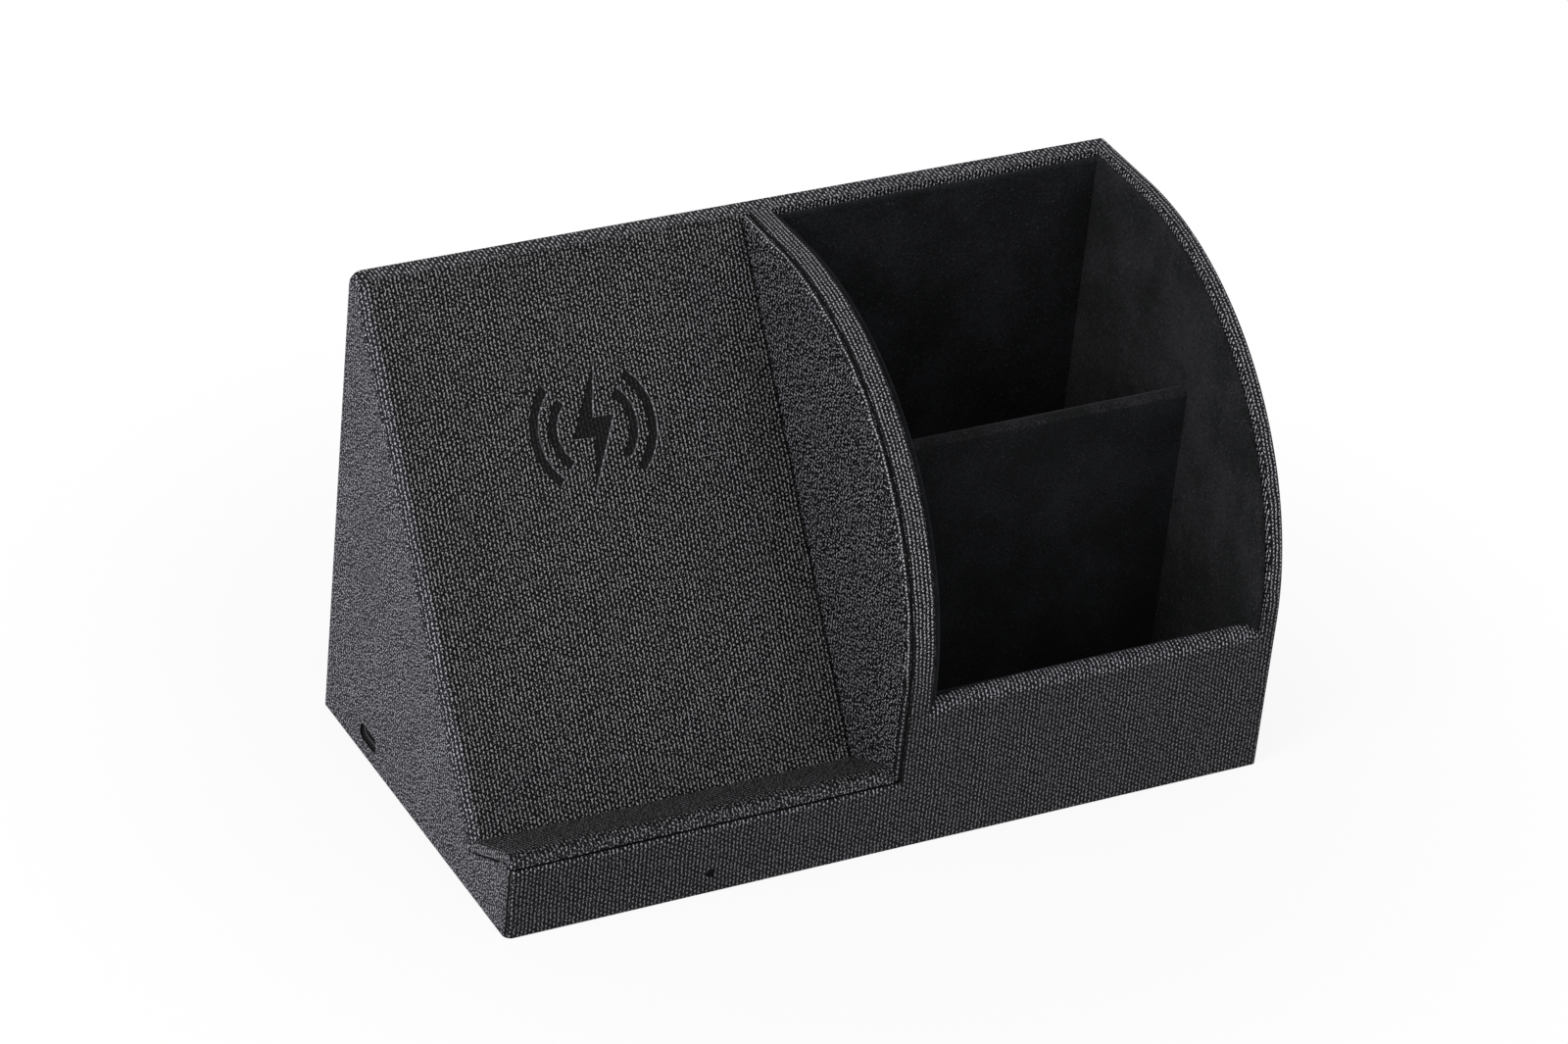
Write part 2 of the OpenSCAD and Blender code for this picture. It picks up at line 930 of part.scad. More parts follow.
// Parts on the board as shares of its diameter: place, size and height
part_shares = [
    [-0.22, 0.16, 0.22, 0.22, 0.95],
    [0.2, 0.2, 0.15, 0.15, 0.35],
    [0.24, -0.04, 0.11, 0.2, 0.3],
    [-0.26, -0.14, 0.15, 0.1, 0.55],
    [-0.02, 0.3, 0.09, 0.06, 0.4]
];

module charger_parts() {
    color("#202022") on_coil() for (p = part_shares)
        translate([p[0] * disc_d, p[1] * disc_d, -charger_board_n - p[4] * parts_h / 2])
            cube([p[2] * disc_d, p[3] * disc_d, p[4] * parts_h], center = true);
}

module module_lid() {
    color("#e4e4e0") on_coil() difference() {
        disc(cup_bore_d, lid_n, cup_n);
        translate([0, -lead_hole_off, 0]) disc(lead_hole_d, lid_n - over, cup_n + over);
    }
}

module module_screws() {
    color("silver") on_coil() screw_places() translate([0, 0, -flange_n])
        screw(flange_t + screw_bite);
}

// Inlet

module inlet_board() {
    color("#1e6b3a") difference() {
        block([inlet_board_x, inlet_centre_y - inlet_board_w / 2, base_top],
            [inlet_board_x + inlet_board_l, inlet_centre_y + inlet_board_w / 2,
                base_top + board_t]);
        inlet_screw_places() translate([0, 0, -over]) cylinder(d = screw_d, h = reach);
    }
}

module inlet_screw_places() {
    for (s = [-1, 1])
        translate([inlet_board_x + inlet_board_l - head_d,
            inlet_centre_y + s * (inlet_board_w / 2 - head_d), base_top])
            children();
}

module inlet_screws() {
    color("silver") inlet_screw_places() translate([0, 0, board_t]) rotate([180, 0, 0])
        screw(board_t);
}

module usb_socket() {
    color("#b9bcc0") difference() {
        inlet_slot(socket_w, socket_h, socket_x, socket_x + socket_l);
        inlet_slot(socket_w - 2 * socket_wall, socket_h - 2 * socket_wall,
            socket_x - over, socket_x + socket_l - socket_wall);
    }
}

module socket_tongue() {
    size = [tongue_share[0] * socket_l, tongue_share[1] * socket_w, tongue_share[2] * socket_h];
    color("#151516") translate([socket_x + socket_l - socket_wall - size[0],
        inlet_centre_y - size[1] / 2, inlet_z - size[2] / 2]) cube(size);
}

// Indicator

module indicator_board() {
    color("#1e6b3a") block(
        [light_centre_x - light_board_w / 2, chip_back_y, base_top],
        [light_centre_x + light_board_w / 2, chip_back_y + board_t, light_board_top]);
}

module indicator_light() {
    color("#e8e8e0") block(
        [light_centre_x - chip_w / 2, chip_front_y, light_z - light_d / 2],
        [light_centre_x + chip_w / 2, chip_back_y, light_z + light_d / 2]);
}

module light_pipe() {
    color("#cfd8dc") translate([light_centre_x, 0, light_z])
        along_y(front_y + light_recess, front_board_back_y) circle(d = light_d - 2 * fit);
}

// Leads

// Place of a lead in the lid's hole: side across, row up the slope, at a depth
function lid_place(side, row, depth) = slope_place(
    coil_x + side * lead_pitch / 2,
    coil_up - lead_hole_off + row * lead_pitch / 2,
    depth);

// Where a lead that leaves the lid squarely reaches a given distance from the front
function lid_turn(side, row, y) = lid_place(side, row,
    (y - lid_place(side, row, 0)[1]) / sin(slope_a));

// The power leads leave on the left of the hole
module power_leads() {
    color("#8c1f1f") for (row = [-1, 1]) {
        y = inlet_centre_y + row * lead_pitch / 2;
        top = lid_turn(-1, row, y);
        run_z = base_top + board_t + lead_out;
        lead([
            [power_pad_x, y, base_top + board_t],
            [power_pad_x, y, run_z],
            [top[0], y, run_z],
            top,
            lid_place(-1, row, charger_board_n)
        ], [0, 1, 0]);
    }
}

// The indicator's leads leave on the right of it, one above the other along the base
module indicator_leads() {
    color("#d9d9d4") for (row = [-1, 1]) {
        y = lid_place(1, 0, cup_n + lead_out)[1] + row * lead_pitch / 2;
        top = lid_turn(1, row, y);
        run_z = light_z - row * lead_pitch / 2;
        lead([
            [top[0], chip_back_y + board_t, run_z],
            [top[0], y, run_z],
            top,
            lid_place(1, row, charger_board_n)
        ], [1, 0, 0]);
    }
}

base_felt();
base_board();
front_board();
back_board();
end_board();
side_board();
divider_board();
slope_board();
slope_batten();
ledge_board();
cross_board();
front_cover();
back_cover();
end_cover();
side_cover();
divider_cover();
slope_cover();
ledge_cover();
panel_card();
panel_cover();
front_liner_card();
front_liner_velvet();
back_liner_card();
back_liner_velvet();
left_liner_card();
left_liner_velvet();
right_liner_card();
right_liner_velvet();
floor_card();
floor_velvet();
cross_velvet();
module_case();
charging_coil();
ferrite_sheet();
foam_pad();
charger_board();
charger_parts();
module_lid();
module_screws();
inlet_board();
usb_socket();
socket_tongue();
inlet_screws();
indicator_board();
indicator_light();
light_pipe();
power_leads();
indicator_leads();
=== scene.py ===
import math

import bmesh
import bpy
from mathutils import Matrix, Vector


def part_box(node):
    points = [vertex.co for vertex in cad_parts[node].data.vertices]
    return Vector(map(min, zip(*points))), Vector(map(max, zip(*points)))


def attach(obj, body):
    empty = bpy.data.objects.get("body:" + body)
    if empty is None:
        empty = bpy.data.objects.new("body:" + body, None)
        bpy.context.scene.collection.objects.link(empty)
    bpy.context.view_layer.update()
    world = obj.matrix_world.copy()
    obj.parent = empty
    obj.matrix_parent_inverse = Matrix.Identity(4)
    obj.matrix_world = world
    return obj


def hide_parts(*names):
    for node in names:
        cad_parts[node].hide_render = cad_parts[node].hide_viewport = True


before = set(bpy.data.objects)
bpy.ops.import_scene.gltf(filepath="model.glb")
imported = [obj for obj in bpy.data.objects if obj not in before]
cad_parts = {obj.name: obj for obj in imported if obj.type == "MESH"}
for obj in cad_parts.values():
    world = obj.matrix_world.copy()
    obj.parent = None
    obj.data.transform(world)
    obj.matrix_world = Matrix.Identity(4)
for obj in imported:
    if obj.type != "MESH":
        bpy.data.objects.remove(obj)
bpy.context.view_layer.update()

# Sizes of the holder in millimetres, as the CAD model has them, and its two tilts
MM = 0.001
MAP_UNIT = 100                  # millimetres in a unit of a piece's map
LEFT, RIGHT, FRONT, BACK, TOP = -100.0, 100.0, -50.5, 50.5, 119.0
SKIN = 0.6                      # the covers' thickness
SOFT, OUTER_ROLL = 0.8, 1.2     # the covers' roll over a board's inner and outer edge
CORNER = 2.0                    # the front's upright left corner
EDGE = 3.0                      # the slope's rounded left edge
SEAM = 0.1                      # the gap where two covers meet
RIM_BACK = 45.0                 # the front of the top rim
END_INNER = LEFT + 3.4          # the inside of the left end
CURVE, CURVE_STEPS = 78.0, 44   # the side walls' big curve, and its centre
CURVE_Y, CURVE_Z = FRONT + CURVE, TOP - CURVE
DIVIDER, DIVIDER_RIGHT = 0.0, 6.0
SIDE = 96.0                     # the inside of the right wall
# The panel's thickness, how far it stays below the rim and goes below the slope, and its skin
PANEL, PANEL_STEP, PANEL_FOOT, PANEL_SKIN = 1.8, 0.5, 0.55, 0.3
CARD_INSET = 0.7
WRAP_LOW = 12.0                 # where the divider's cover starts
TURN_IN = 11.0                  # the width of the covers' turned-in bands
BAND_LOW = TOP - 12.0           # the lower edge of the back's turned-in band

FOLD_Y, FOLD_Z = -30.9, 14.0    # the line where the slope meets the ledge
SLOPE = math.atan2(TOP - FOLD_Z, RIM_BACK - FOLD_Y)
SLOPE_LENGTH = math.hypot(TOP - FOLD_Z, RIM_BACK - FOLD_Y)
SLOPE_SKIN = 0.58
TILT = math.radians(26.0)
LEDGE, LEDGE_SKIN = 2.4, 0.5
LEDGE_SEAT = 19.4               # the underside of the ledge's nose, and how far back it is level
LEDGE_FLAT = FRONT + 3.4
NOSE, NOSE_FOOT = 2.55, 0.08    # the nose's radius on its map, and the flat left below it
SQUEEZE = 0.75                  # the ledge's length on its map, which draws its pattern out
HOLLOW = 0.6                    # how far the end's top sinks under the ledge's end

LOW_FRONT, LOW_ROLL = 18.8, 1.4     # the front's top under the ledge
WELL_FRONT = 40.0
RIM_FRONT_R, RIM_REAR_R = 2.9, 1.1
FRONT_REAR = FRONT + 4.0
# How far the well front's top sinks below its middle, at places along it
SUNK = ((5.2, 2.2), (6.2, 2.0), (7.2, 1.7), (8.5, 1.3), (10, 0.95), (12.5, 0.65), (16, 0.4),
        (21, 0.18), (28, 0), (88, 0), (91, 0.1), (93, 0.3), (94.5, 0.8), (95.7, 1.4), (96.8, 2.1))

LINER = 2.0                     # the liners' thickness, and how far they stay below the rims
LINER_STEP = 1.5
PILE = 0.5                      # the velvet's thickness
BASE_TOP, FLOOR, FELT = 3.3, 5.3, 0.6
CROSS_FRONT, CROSS_REAR, CROSS_TOP = -8.5, -4.5, 82.0

# The inlet's middle, and the length and height of its slot, its shell and the shell's mouth
INLET_Y, INLET_Z = 25.9, 5.85
SLOT, SHELL, MOUTH = (9.2, 4.1), (8.6, 3.1), (7.9, 2.4)
LIGHT_X, LIGHT_Z, LIGHT_HOLE = -48.2, 5.3, 1.2

# The pictogram: its middle across and up the slope, how deep it is pressed, the width of its
# rounded lip, the circle that it lies in, its arcs' width, radii and half opening, and its bolt
MARK_X, MARK_UP, PRESS, LIP, MARK_REACH = -49.9, 86.9, 0.42, 0.26, 20.0
STROKE, ARC_RADII, ARC_HALF = 2.0, (10.2, 15.0), math.radians(47)
BOLT = [(2.9, 14.6), (-5.4, -1.7), (0.2, -2.1), (-2.4, -14.0), (5.6, 2.4), (0.2, 2.5)]

CLOSE = 0.02                    # two places nearer than this count as the same
MERGE = 1e-6                    # metres between corners that are merged


# Tools: each does one thing that a modeller would do by hand

def put_down():
    """Leaves edit mode with nothing selected."""
    if bpy.context.object and bpy.context.object.mode != "OBJECT":
        bpy.ops.object.mode_set(mode="OBJECT")
    bpy.ops.object.select_all(action="DESELECT")


def hold(piece):
    """Selects one piece alone."""
    put_down()
    piece.select_set(True)
    bpy.context.view_layer.objects.active = piece


def edit(piece):
    """Takes one piece into edit mode."""
    hold(piece)
    bpy.ops.object.mode_set(mode="EDIT")


def pick_all():
    """Selects all of the mesh in hand."""
    bpy.ops.mesh.select_all(action="SELECT")


def take_up(name):
    """Names the new primitive, settles its size into its mesh and goes into edit mode."""
    piece = bpy.context.object
    piece.name = name
    piece.data.name = name
    bpy.ops.object.transform_apply(location=True, rotation=True, scale=True)
    bpy.ops.object.mode_set(mode="EDIT")
    bpy.ops.mesh.select_all(action="DESELECT")
    return piece


def block(name, low, high):
    """A block between two corners."""
    put_down()
    low, high = Vector(low) * MM, Vector(high) * MM
    bpy.ops.mesh.primitive_cube_add(size=1, location=(low + high) / 2, scale=high - low)
    return take_up(name)


def single_edge(name, start, end):
    """One edge between two places, to draw a sheet from."""
    put_down()
    bpy.ops.mesh.primitive_plane_add(size=MM)
    piece = take_up(name)
    pick(piece, "verts", lambda v: v.co.y > 0)
    bpy.ops.mesh.delete(type="VERT")
    put_down()
    first, last = sorted(piece.data.vertices, key=lambda v: v.co.x)
    first.co, last.co = Vector(start) * MM, Vector(end) * MM
    edit(piece)
    pick_all()
    return piece


def outline(name, corners, way):
    """A flat shape through given corners, pushed out along a way into a solid."""
    put_down()
    bpy.ops.mesh.primitive_circle_add(vertices=len(corners), radius=MM, fill_type="NGON")
    piece = take_up(name)
    put_down()
    for corner, place in zip(piece.data.vertices, corners):
        corner.co = Vector(place) * MM
    edit(piece)
    push_out(way)
    return piece


def draw_on(way):
    """Extrudes the selected edges along a way."""
    bpy.ops.mesh.extrude_edges_move(TRANSFORM_OT_translate={"value": Vector(way) * MM})


def push_out(way):
    """Extrudes the whole sheet in hand and turns its faces out."""
    pick_all()
    bpy.ops.mesh.extrude_region_move(TRANSFORM_OT_translate={"value": Vector(way) * MM})
    pick_all()
    bpy.ops.mesh.normals_make_consistent(inside=False)


def pick(piece, kind, wanted):
    """Selects the corners, edges or faces that pass a test."""
    mode = {"verts": "VERT", "edges": "EDGE", "faces": "FACE"}[kind]
    bpy.ops.mesh.select_mode(type=mode)
    bpy.ops.mesh.select_all(action="DESELECT")
    shape = bmesh.from_edit_mesh(piece.data)
    for part in getattr(shape, kind):
        if wanted(part):
            part.select_set(True)
    shape.select_flush_mode()
    bmesh.update_edit_mesh(piece.data)


def near(value, target):
    """Whether a value in metres is at a place in millimetres."""
    return abs(value / MM - target) < CLOSE


def along(part, x=None, y=None, z=None):
    """Whether all corners of an edge or face lie at the given places."""
    for v in part.verts:
        for value, target in ((v.co.x, x), (v.co.y, y), (v.co.z, z)):
            if target is not None and not near(value, target):
                return False
    return True


def bevel(width, steps):
    """Rounds the selected edges."""
    bpy.ops.mesh.bevel(offset=width * MM, offset_type="OFFSET", segments=steps, profile=0.5,
                       affect="EDGES", clamp_overlap=False)


def sweep(centre, axis, degrees, steps):
    """Spins what is selected about a place, right-handed about the axis."""
    bpy.ops.mesh.spin(steps=steps, angle=math.radians(degrees), center=Vector(centre) * MM,
                      axis=-Vector(axis))


def round_off(piece, width, steps, wanted):
    """Rounds the edges that pass a test."""
    pick(piece, "edges", wanted)
    bevel(width, steps)


def cut_away(place, normal):
    """Cuts the piece in hand at a plane and clears what lies on the normal's side."""
    pick_all()
    bpy.ops.mesh.bisect(plane_co=Vector(place) * MM, plane_no=normal, clear_outer=True)


def score(place, normal):
    """Cuts the piece in hand at a plane and keeps both sides."""
    pick_all()
    bpy.ops.mesh.bisect(plane_co=Vector(place) * MM, plane_no=normal)


def clear_faces(piece, wanted):
    """Deletes the faces that pass a test."""
    pick(piece, "faces", wanted)
    bpy.ops.mesh.delete(type="FACE")


def face_out(piece, inside):
    """Turns an open sheet's faces away from a place inside the holder."""
    pick_all()
    bpy.ops.mesh.remove_doubles(threshold=MERGE)
    bpy.ops.mesh.normals_make_consistent(inside=False)
    shape = bmesh.from_edit_mesh(piece.data)
    away = sum((f.calc_center_median() - Vector(inside) * MM).dot(f.normal) * f.calc_area()
               for f in shape.faces)
    if away < 0:
        bpy.ops.mesh.flip_normals()


def modifier(piece, kind, **settings):
    """Adds a modifier and applies it."""
    hold(piece)
    added = piece.modifiers.new(kind.title(), kind)
    for key, value in settings.items():
        setattr(added, key, value)
    bpy.ops.object.modifier_apply(modifier=added.name)


def thicken(piece, thickness=SKIN):
    """Gives an outer sheet its thickness inwards."""
    modifier(piece, "SOLIDIFY", thickness=thickness * MM, offset=-1, use_even_offset=True,
             use_quality_normals=True)


def smooth(piece):
    """Smooth shading with the flats kept flat."""
    hold(piece)
    bpy.ops.object.shade_smooth_by_angle(angle=math.radians(35))
    modifier(piece, "WEIGHTED_NORMAL", keep_sharp=True, weight=80)


def carve(piece, cutter):
    """Takes a cutter's shape out of a piece and removes the cutter."""
    modifier(piece, "BOOLEAN", operation="DIFFERENCE", solver="EXACT", object=cutter)
    bpy.data.objects.remove(cutter)


def lay_out(piece, place):
    """Lays a piece's pattern flat: place gives two lengths in millimetres for a corner and its
    face's direction."""
    put_down()
    while len(piece.data.uv_layers):
        piece.data.uv_layers.remove(piece.data.uv_layers[0])
    sheet = piece.data.uv_layers.new(name="Lay")
    for face in piece.data.polygons:
        for loop in face.loop_indices:
            corner = piece.data.vertices[piece.data.loops[loop].vertex_index].co / MM
            u, v = place(corner, face.normal)
            sheet.data[loop].uv = (u / MAP_UNIT, v / MAP_UNIT)


def rim_length(corner):
    """Length along the curved rim, from the table up and over."""
    if corner.z <= CURVE_Z:
        return corner.z
    if corner.y >= CURVE_Y:
        return CURVE_Z + CURVE * math.pi / 2 + corner.y - CURVE_Y
    return CURVE_Z + CURVE * math.atan2(corner.z - CURVE_Z, CURVE_Y - corner.y)


def wall_lay(corner, direction):
    """Across a wall on its faces, and along the curve on its rim, drawn in above its foot."""
    if abs(direction.x) > 0.7:
        return corner.y, corner.z
    length, foot = rim_length(corner), 42
    return corner.x, length + max(length - foot, 0) * 0.3


def panel_lay(corner, direction):
    """As a wall's, with other scales on the panel's broad face."""
    if abs(direction.x) > 0.7:
        return corner.y * 0.8, corner.z * 1.1
    return wall_lay(corner, direction)


def flat_lay(corner, direction):
    """Seen square on, from the side that a face looks to."""
    if abs(direction.x) > 0.7:
        return corner.y * 0.95, corner.z * 1.3
    if abs(direction.z) > 0.7:
        return corner.x, corner.y * 0.6
    return corner.x, corner.z


# Materials

def tint(code):
    """A colour code as the linear values that a shader takes."""
    parts = [int(code[i:i + 2], 16) / 255 for i in (1, 3, 5)]
    return tuple(p / 12.92 if p <= 0.04045 else ((p + 0.055) / 1.055) ** 2.4 for p in parts) + (1,)


class Wire:
    """A shader value. Sums written with it add the nodes that work them out."""

    def __init__(self, recipe, socket):
        self.recipe = recipe
        self.socket = socket

    def sum(self, operation, *values):
        return self.recipe.add("ShaderNodeMath", {"operation": operation},
                               dict(enumerate(values)))

    def __add__(self, other):
        return self.sum("ADD", self, other)

    def __radd__(self, other):
        return self.sum("ADD", other, self)

    def __sub__(self, other):
        return self.sum("SUBTRACT", self, other)

    def __rsub__(self, other):
        return self.sum("SUBTRACT", other, self)

    def __mul__(self, other):
        return self.sum("MULTIPLY", self, other)

    def __rmul__(self, other):
        return self.sum("MULTIPLY", other, self)

    def __pow__(self, other):
        return self.sum("POWER", self, other)

    def cosine(self):
        return self.sum("COSINE", self)

    def wave(self, per_mm):
        """A wave along a length in millimetres."""
        return (self * (2 * math.pi * per_mm)).cosine()

    def least(self, other):
        return self.sum("MINIMUM", self, other)


class Recipe:
    """The nodes of one material, or of a world."""

    def __init__(self, name, kind="Material"):
        shelf = {"Material": bpy.data.materials, "World": bpy.data.worlds}[kind]
        self.kind = kind
        self.made = shelf.new(name)
        self.made.use_nodes = True
        self.tree = self.made.node_tree
        self.tree.nodes.clear()

    def add(self, kind, settings=None, values=None, out=0):
        """Adds a node: its settings first, then its sockets' values or wires."""
        node = self.tree.nodes.new(kind)
        for key, value in (settings or {}).items():
            setattr(node, key, value)
        for key, value in (values or {}).items():
            if isinstance(value, Wire):
                self.tree.links.new(value.socket, node.inputs[key])
            else:
                node.inputs[key].default_value = value
        return Wire(self, node.outputs[out])

    def lay(self, scale=(MAP_UNIT, MAP_UNIT, 1)):
        """The piece's laid-out map, in millimetres unless scaled otherwise."""
        uv = self.add("ShaderNodeUVMap", {"uv_map": "Lay"})
        return self.add("ShaderNodeMapping", None, {"Vector": uv, "Scale": scale})

    def place(self, scale=1000):
        """Object coordinates, in millimetres unless scaled otherwise."""
        where = self.add("ShaderNodeTexCoord", None, None, 3)
        return self.add("ShaderNodeMapping", None, {
            "Vector": where, "Scale": (scale, scale, scale)})

    def parts(self, vector):
        return [self.add("ShaderNodeSeparateXYZ", None, {"Vector": vector}, i) for i in range(3)]

    def joined(self, x, y, z=0.0):
        return self.add("ShaderNodeCombineXYZ", None, {"X": x, "Y": y, "Z": z})

    def noise(self, vector, scale, detail=2.0, roughness=0.5):
        return self.add("ShaderNodeTexNoise", None, {
            "Vector": vector, "Scale": scale, "Detail": detail, "Roughness": roughness})

    def stepped(self, value, low, high):
        """0 below one level, 1 above another and a smooth rise between."""
        return self.add("ShaderNodeMapRange", {"interpolation_type": "SMOOTHSTEP"}, {
            "Value": value, "From Min": low, "From Max": high})

    def mixed(self, share, first, second):
        """A colour between two."""
        return self.add("ShaderNodeMix", {"data_type": "RGBA"}, {0: share, 6: first, 7: second}, 2)

    def bump(self, height, distance):
        """The surface's direction under a relief, its height a distance in millimetres."""
        return self.add("ShaderNodeBump", None, {
            "Height": height, "Distance": distance * MM, "Strength": 1.0})

    def finish(self, **values):
        """The surface's shader, with sockets named in words joined by underscores."""
        named = {key.replace("_", " "): value for key, value in values.items()}
        surface = self.add("ShaderNodeBsdfPrincipled", None, named)
        return self.end(surface)

    def seen(self):
        """1 on the rays of the camera and of reflections, and 0 on all others."""
        camera, glossy, through = (self.add("ShaderNodeLightPath", None, None, out)
                                   for out in (0, 3, 6))
        return (camera + glossy + through).least(1.0)

    def end(self, surface):
        """Joins a shader to the output and hands over what was made."""
        output = self.tree.nodes.new("ShaderNodeOutput" + self.kind)
        self.tree.links.new(surface.socket, output.inputs["Surface"])
        return self.made


def linen(name, deep, body, bright, grit=7.5, relief=0.06, order=1.0, grain=5.0, change=None):
    """Leatherette embossed like linen: columns 1 mm apart, with a bead every 1.25 mm that stands
    half a step on in the next column, small pits between them, and uneven in size and place.
    grit is how uneven it is, grain how strong its finest specks are and order how plain its columns
    are. change holds other colours, which give way between two places along an axis, in
    millimetres."""
    r = Recipe(name)
    flat = r.lay()
    x, y, _ = r.parts(flat)
    across = x + (r.noise(flat, 0.12, 1.0) - 0.5) * 0.8
    up = y + (r.noise(r.joined(x + 61.0, y), 0.12, 1.0) - 0.5) * 0.8
    weave = across.wave(1.0) * 2.0 + up.wave(1.6) * 0.4 \
        + up.wave(0.8) * (across.wave(1.5) * 1.4 + across.wave(0.5) * 0.8)
    uneven = r.noise(r.joined(x * 1.1, y * 0.8), 2.3, 0.0)
    specks = r.noise(r.joined(x + 17.0, y), 4.0, 0.0)
    height = weave * order + (uneven - 0.5) * grit + (specks - 0.5) * grain
    tone = r.stepped(height, -0.3, 1.3)
    top = r.stepped(height, 1.0, 2.9)
    cloud = r.stepped(r.noise(r.lay((5, 5, 1)), 1.0, 2.0), 0.3, 0.7)
    colours = [tint(code) for code in (deep, body, bright)]
    if change:
        others, axis, start, end = change
        share = r.stepped(r.parts(r.place())[axis], start, end)
        colours = [r.mixed(share, tint(other), own) for other, own in zip(others, colours)]
    dark, middle, light = colours
    colour = r.mixed(tone, dark, middle)
    colour = r.mixed(top, colour, light)
    colour = r.mixed(cloud * 0.12, colour, tint("#1c1c1e"))
    return r.finish(Base_Color=colour, Roughness=0.7 - 0.14 * tone, Specular_IOR_Level=0.09,
                    Normal=r.bump(height * 0.25, relief))


def velvet(name, deep, nap, fuzz):
    """Short black pile: a soft edge sheen, uneven nap and a little dust."""
    r = Recipe(name)
    spot = r.place()
    pile = r.noise(spot, 1.9, 3.0, 0.7)
    lean = r.noise(spot, 0.06, 3.0, 0.6)
    dust = r.stepped(r.noise(spot, 1.9, 0.0), 0.78, 0.84)
    colour = r.mixed(r.stepped(lean + (pile - 0.5) * 1.6, 0.3, 0.8), tint(deep), tint(nap))
    colour = r.mixed(dust * 0.18, colour, tint(fuzz))
    return r.finish(Base_Color=colour, Roughness=0.95, Specular_IOR_Level=0.1,
                    Sheen_Weight=0.25, Sheen_Roughness=0.45, Sheen_Tint=tint(fuzz),
                    Normal=r.bump(pile, 0.12))


def felt_finish(name="pressed felt", deep="#101011", pale="#2a2a2c"):
    """Matted fibres without a shine."""
    r = Recipe(name)
    spot = r.place()
    fibre = r.noise(spot, 1.6, 4.0, 0.75)
    matted = r.noise(spot, 0.12, 2.0)
    colour = r.mixed(r.stepped(fibre + (matted - 0.5) * 0.4, 0.3, 0.7), tint(deep), tint(pale))
    return r.finish(Base_Color=colour, Roughness=0.95, Specular_IOR_Level=0.15,
                    Normal=r.bump(fibre, 0.15))


def board_finish(name, deep, pale, fine):
    """Fibre board or card: flecked, with a slight unevenness."""
    r = Recipe(name)
    spot = r.place()
    fleck = r.noise(spot, fine, 4.0, 0.7)
    cloud = r.noise(spot, 0.03, 2.0)
    colour = r.mixed(r.stepped(fleck * 0.7 + cloud * 0.3, 0.3, 0.7), tint(deep), tint(pale))
    return r.finish(Base_Color=colour, Roughness=0.85, Normal=r.bump(fleck, 0.05))


def plastic_finish(name, colour, rough, pale="#808080", shine=0.5):
    """Moulded plastic: even colour with a fine spark-eroded grain."""
    r = Recipe(name)
    spot = r.place()
    grain = r.noise(spot, 4.0, 2.0)
    cloud = r.noise(spot, 0.08, 2.0)
    base = r.mixed(r.stepped(cloud, 0.3, 0.7) * 0.25, tint(colour), tint(pale))
    return r.finish(Base_Color=base, Roughness=rough + (grain - 0.5) * 0.15,
                    Specular_IOR_Level=shine, Normal=r.bump(grain, 0.01))


def metal_finish(name, colour, rough):
    """Plated or drawn metal with fine streaks."""
    r = Recipe(name)
    x, y, z = r.parts(r.place())
    streak = r.noise(r.joined(x * 0.15, y * 2.0, z * 2.0), 1.0, 3.0)
    base = r.mixed(r.stepped(streak, 0.3, 0.7) * 0.3, tint(colour), tint("#5c5d60"))
    return r.finish(Base_Color=base, Metallic=1.0, Roughness=rough + (streak - 0.5) * 0.2,
                    Normal=r.bump(streak, 0.004))


def coil_finish():
    """Enamelled wire laid in a flat spiral with 1.1 mm between its turns."""
    r = Recipe("coil wire")
    where = r.add("ShaderNodeTexCoord", None, None, 3)
    low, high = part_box("charging_coil")
    centre = (low + high) / 2
    turned = r.add("ShaderNodeMapping", {"vector_type": "TEXTURE"}, {
        "Vector": where, "Location": centre, "Rotation": (SLOPE, 0, 0), "Scale": (MM, MM, MM)})
    x, y, _ = r.parts(turned)
    radius = (x * x + y * y) ** 0.5
    wire = 0.5 + 0.5 * (radius * (2 * math.pi / 1.1)).cosine()
    base = r.mixed(wire, tint("#5a2c12"), tint("#c8793a"))
    return r.finish(Base_Color=base, Metallic=0.9, Roughness=0.35, Normal=r.bump(wire, 0.3))


FRONT_COLOURS = ("#050506", "#232326", "#7e7e83")
# Lighter colours for the ledge's nose and the front's rolled tops, where the light catches them:
# painted highlight
NOSE_HIGHLIGHT_COLOURS = ("#0a0a0c", "#343437", "#9c9ca0")
leather_slope = linen("leatherette slope", "#010102", "#1f1f20", "#9a9a9b", grit=9.0)
# The ledge's front millimetre gives way to the nose colours: painted highlight
leather_ledge = linen("leatherette ledge", "#020203", "#1b1b1c", "#8c8c8e", grit=10.0, order=0.6,
                      change=(NOSE_HIGHLIGHT_COLOURS, 1, FRONT + 0.3, FRONT + 1.1))
leather_front = linen("leatherette front", *FRONT_COLOURS)
# The rims' colours, lighter than the front's where the rims turn up into the light, and giving way
# to the front's colours below 36 mm: painted light
leather_rim_lit = linen("leatherette rim lit", "#050506", "#2f2f33", "#bcbcc0",
                    change=(FRONT_COLOURS, 2, 36.0, 62.0))
leather_panel = linen("leatherette panel", "#010102", "#0b0b0c", "#94949a", grit=15.0, order=0.4,
                      grain=1.5)
# The left end's colours, lighter than the front's because the key lamp lights that end: painted
# light
leather_end_lit = linen("leatherette end lit", "#0e0e10", "#2e2e32", "#b2b2bc", grit=15.0, order=0.35,
                    grain=2.0)
# The nose colours as a finish of their own: painted highlight
leather_nose_highlight = linen("leatherette nose highlight", "#0a0a0c", "#2e2e32", "#acacb2")
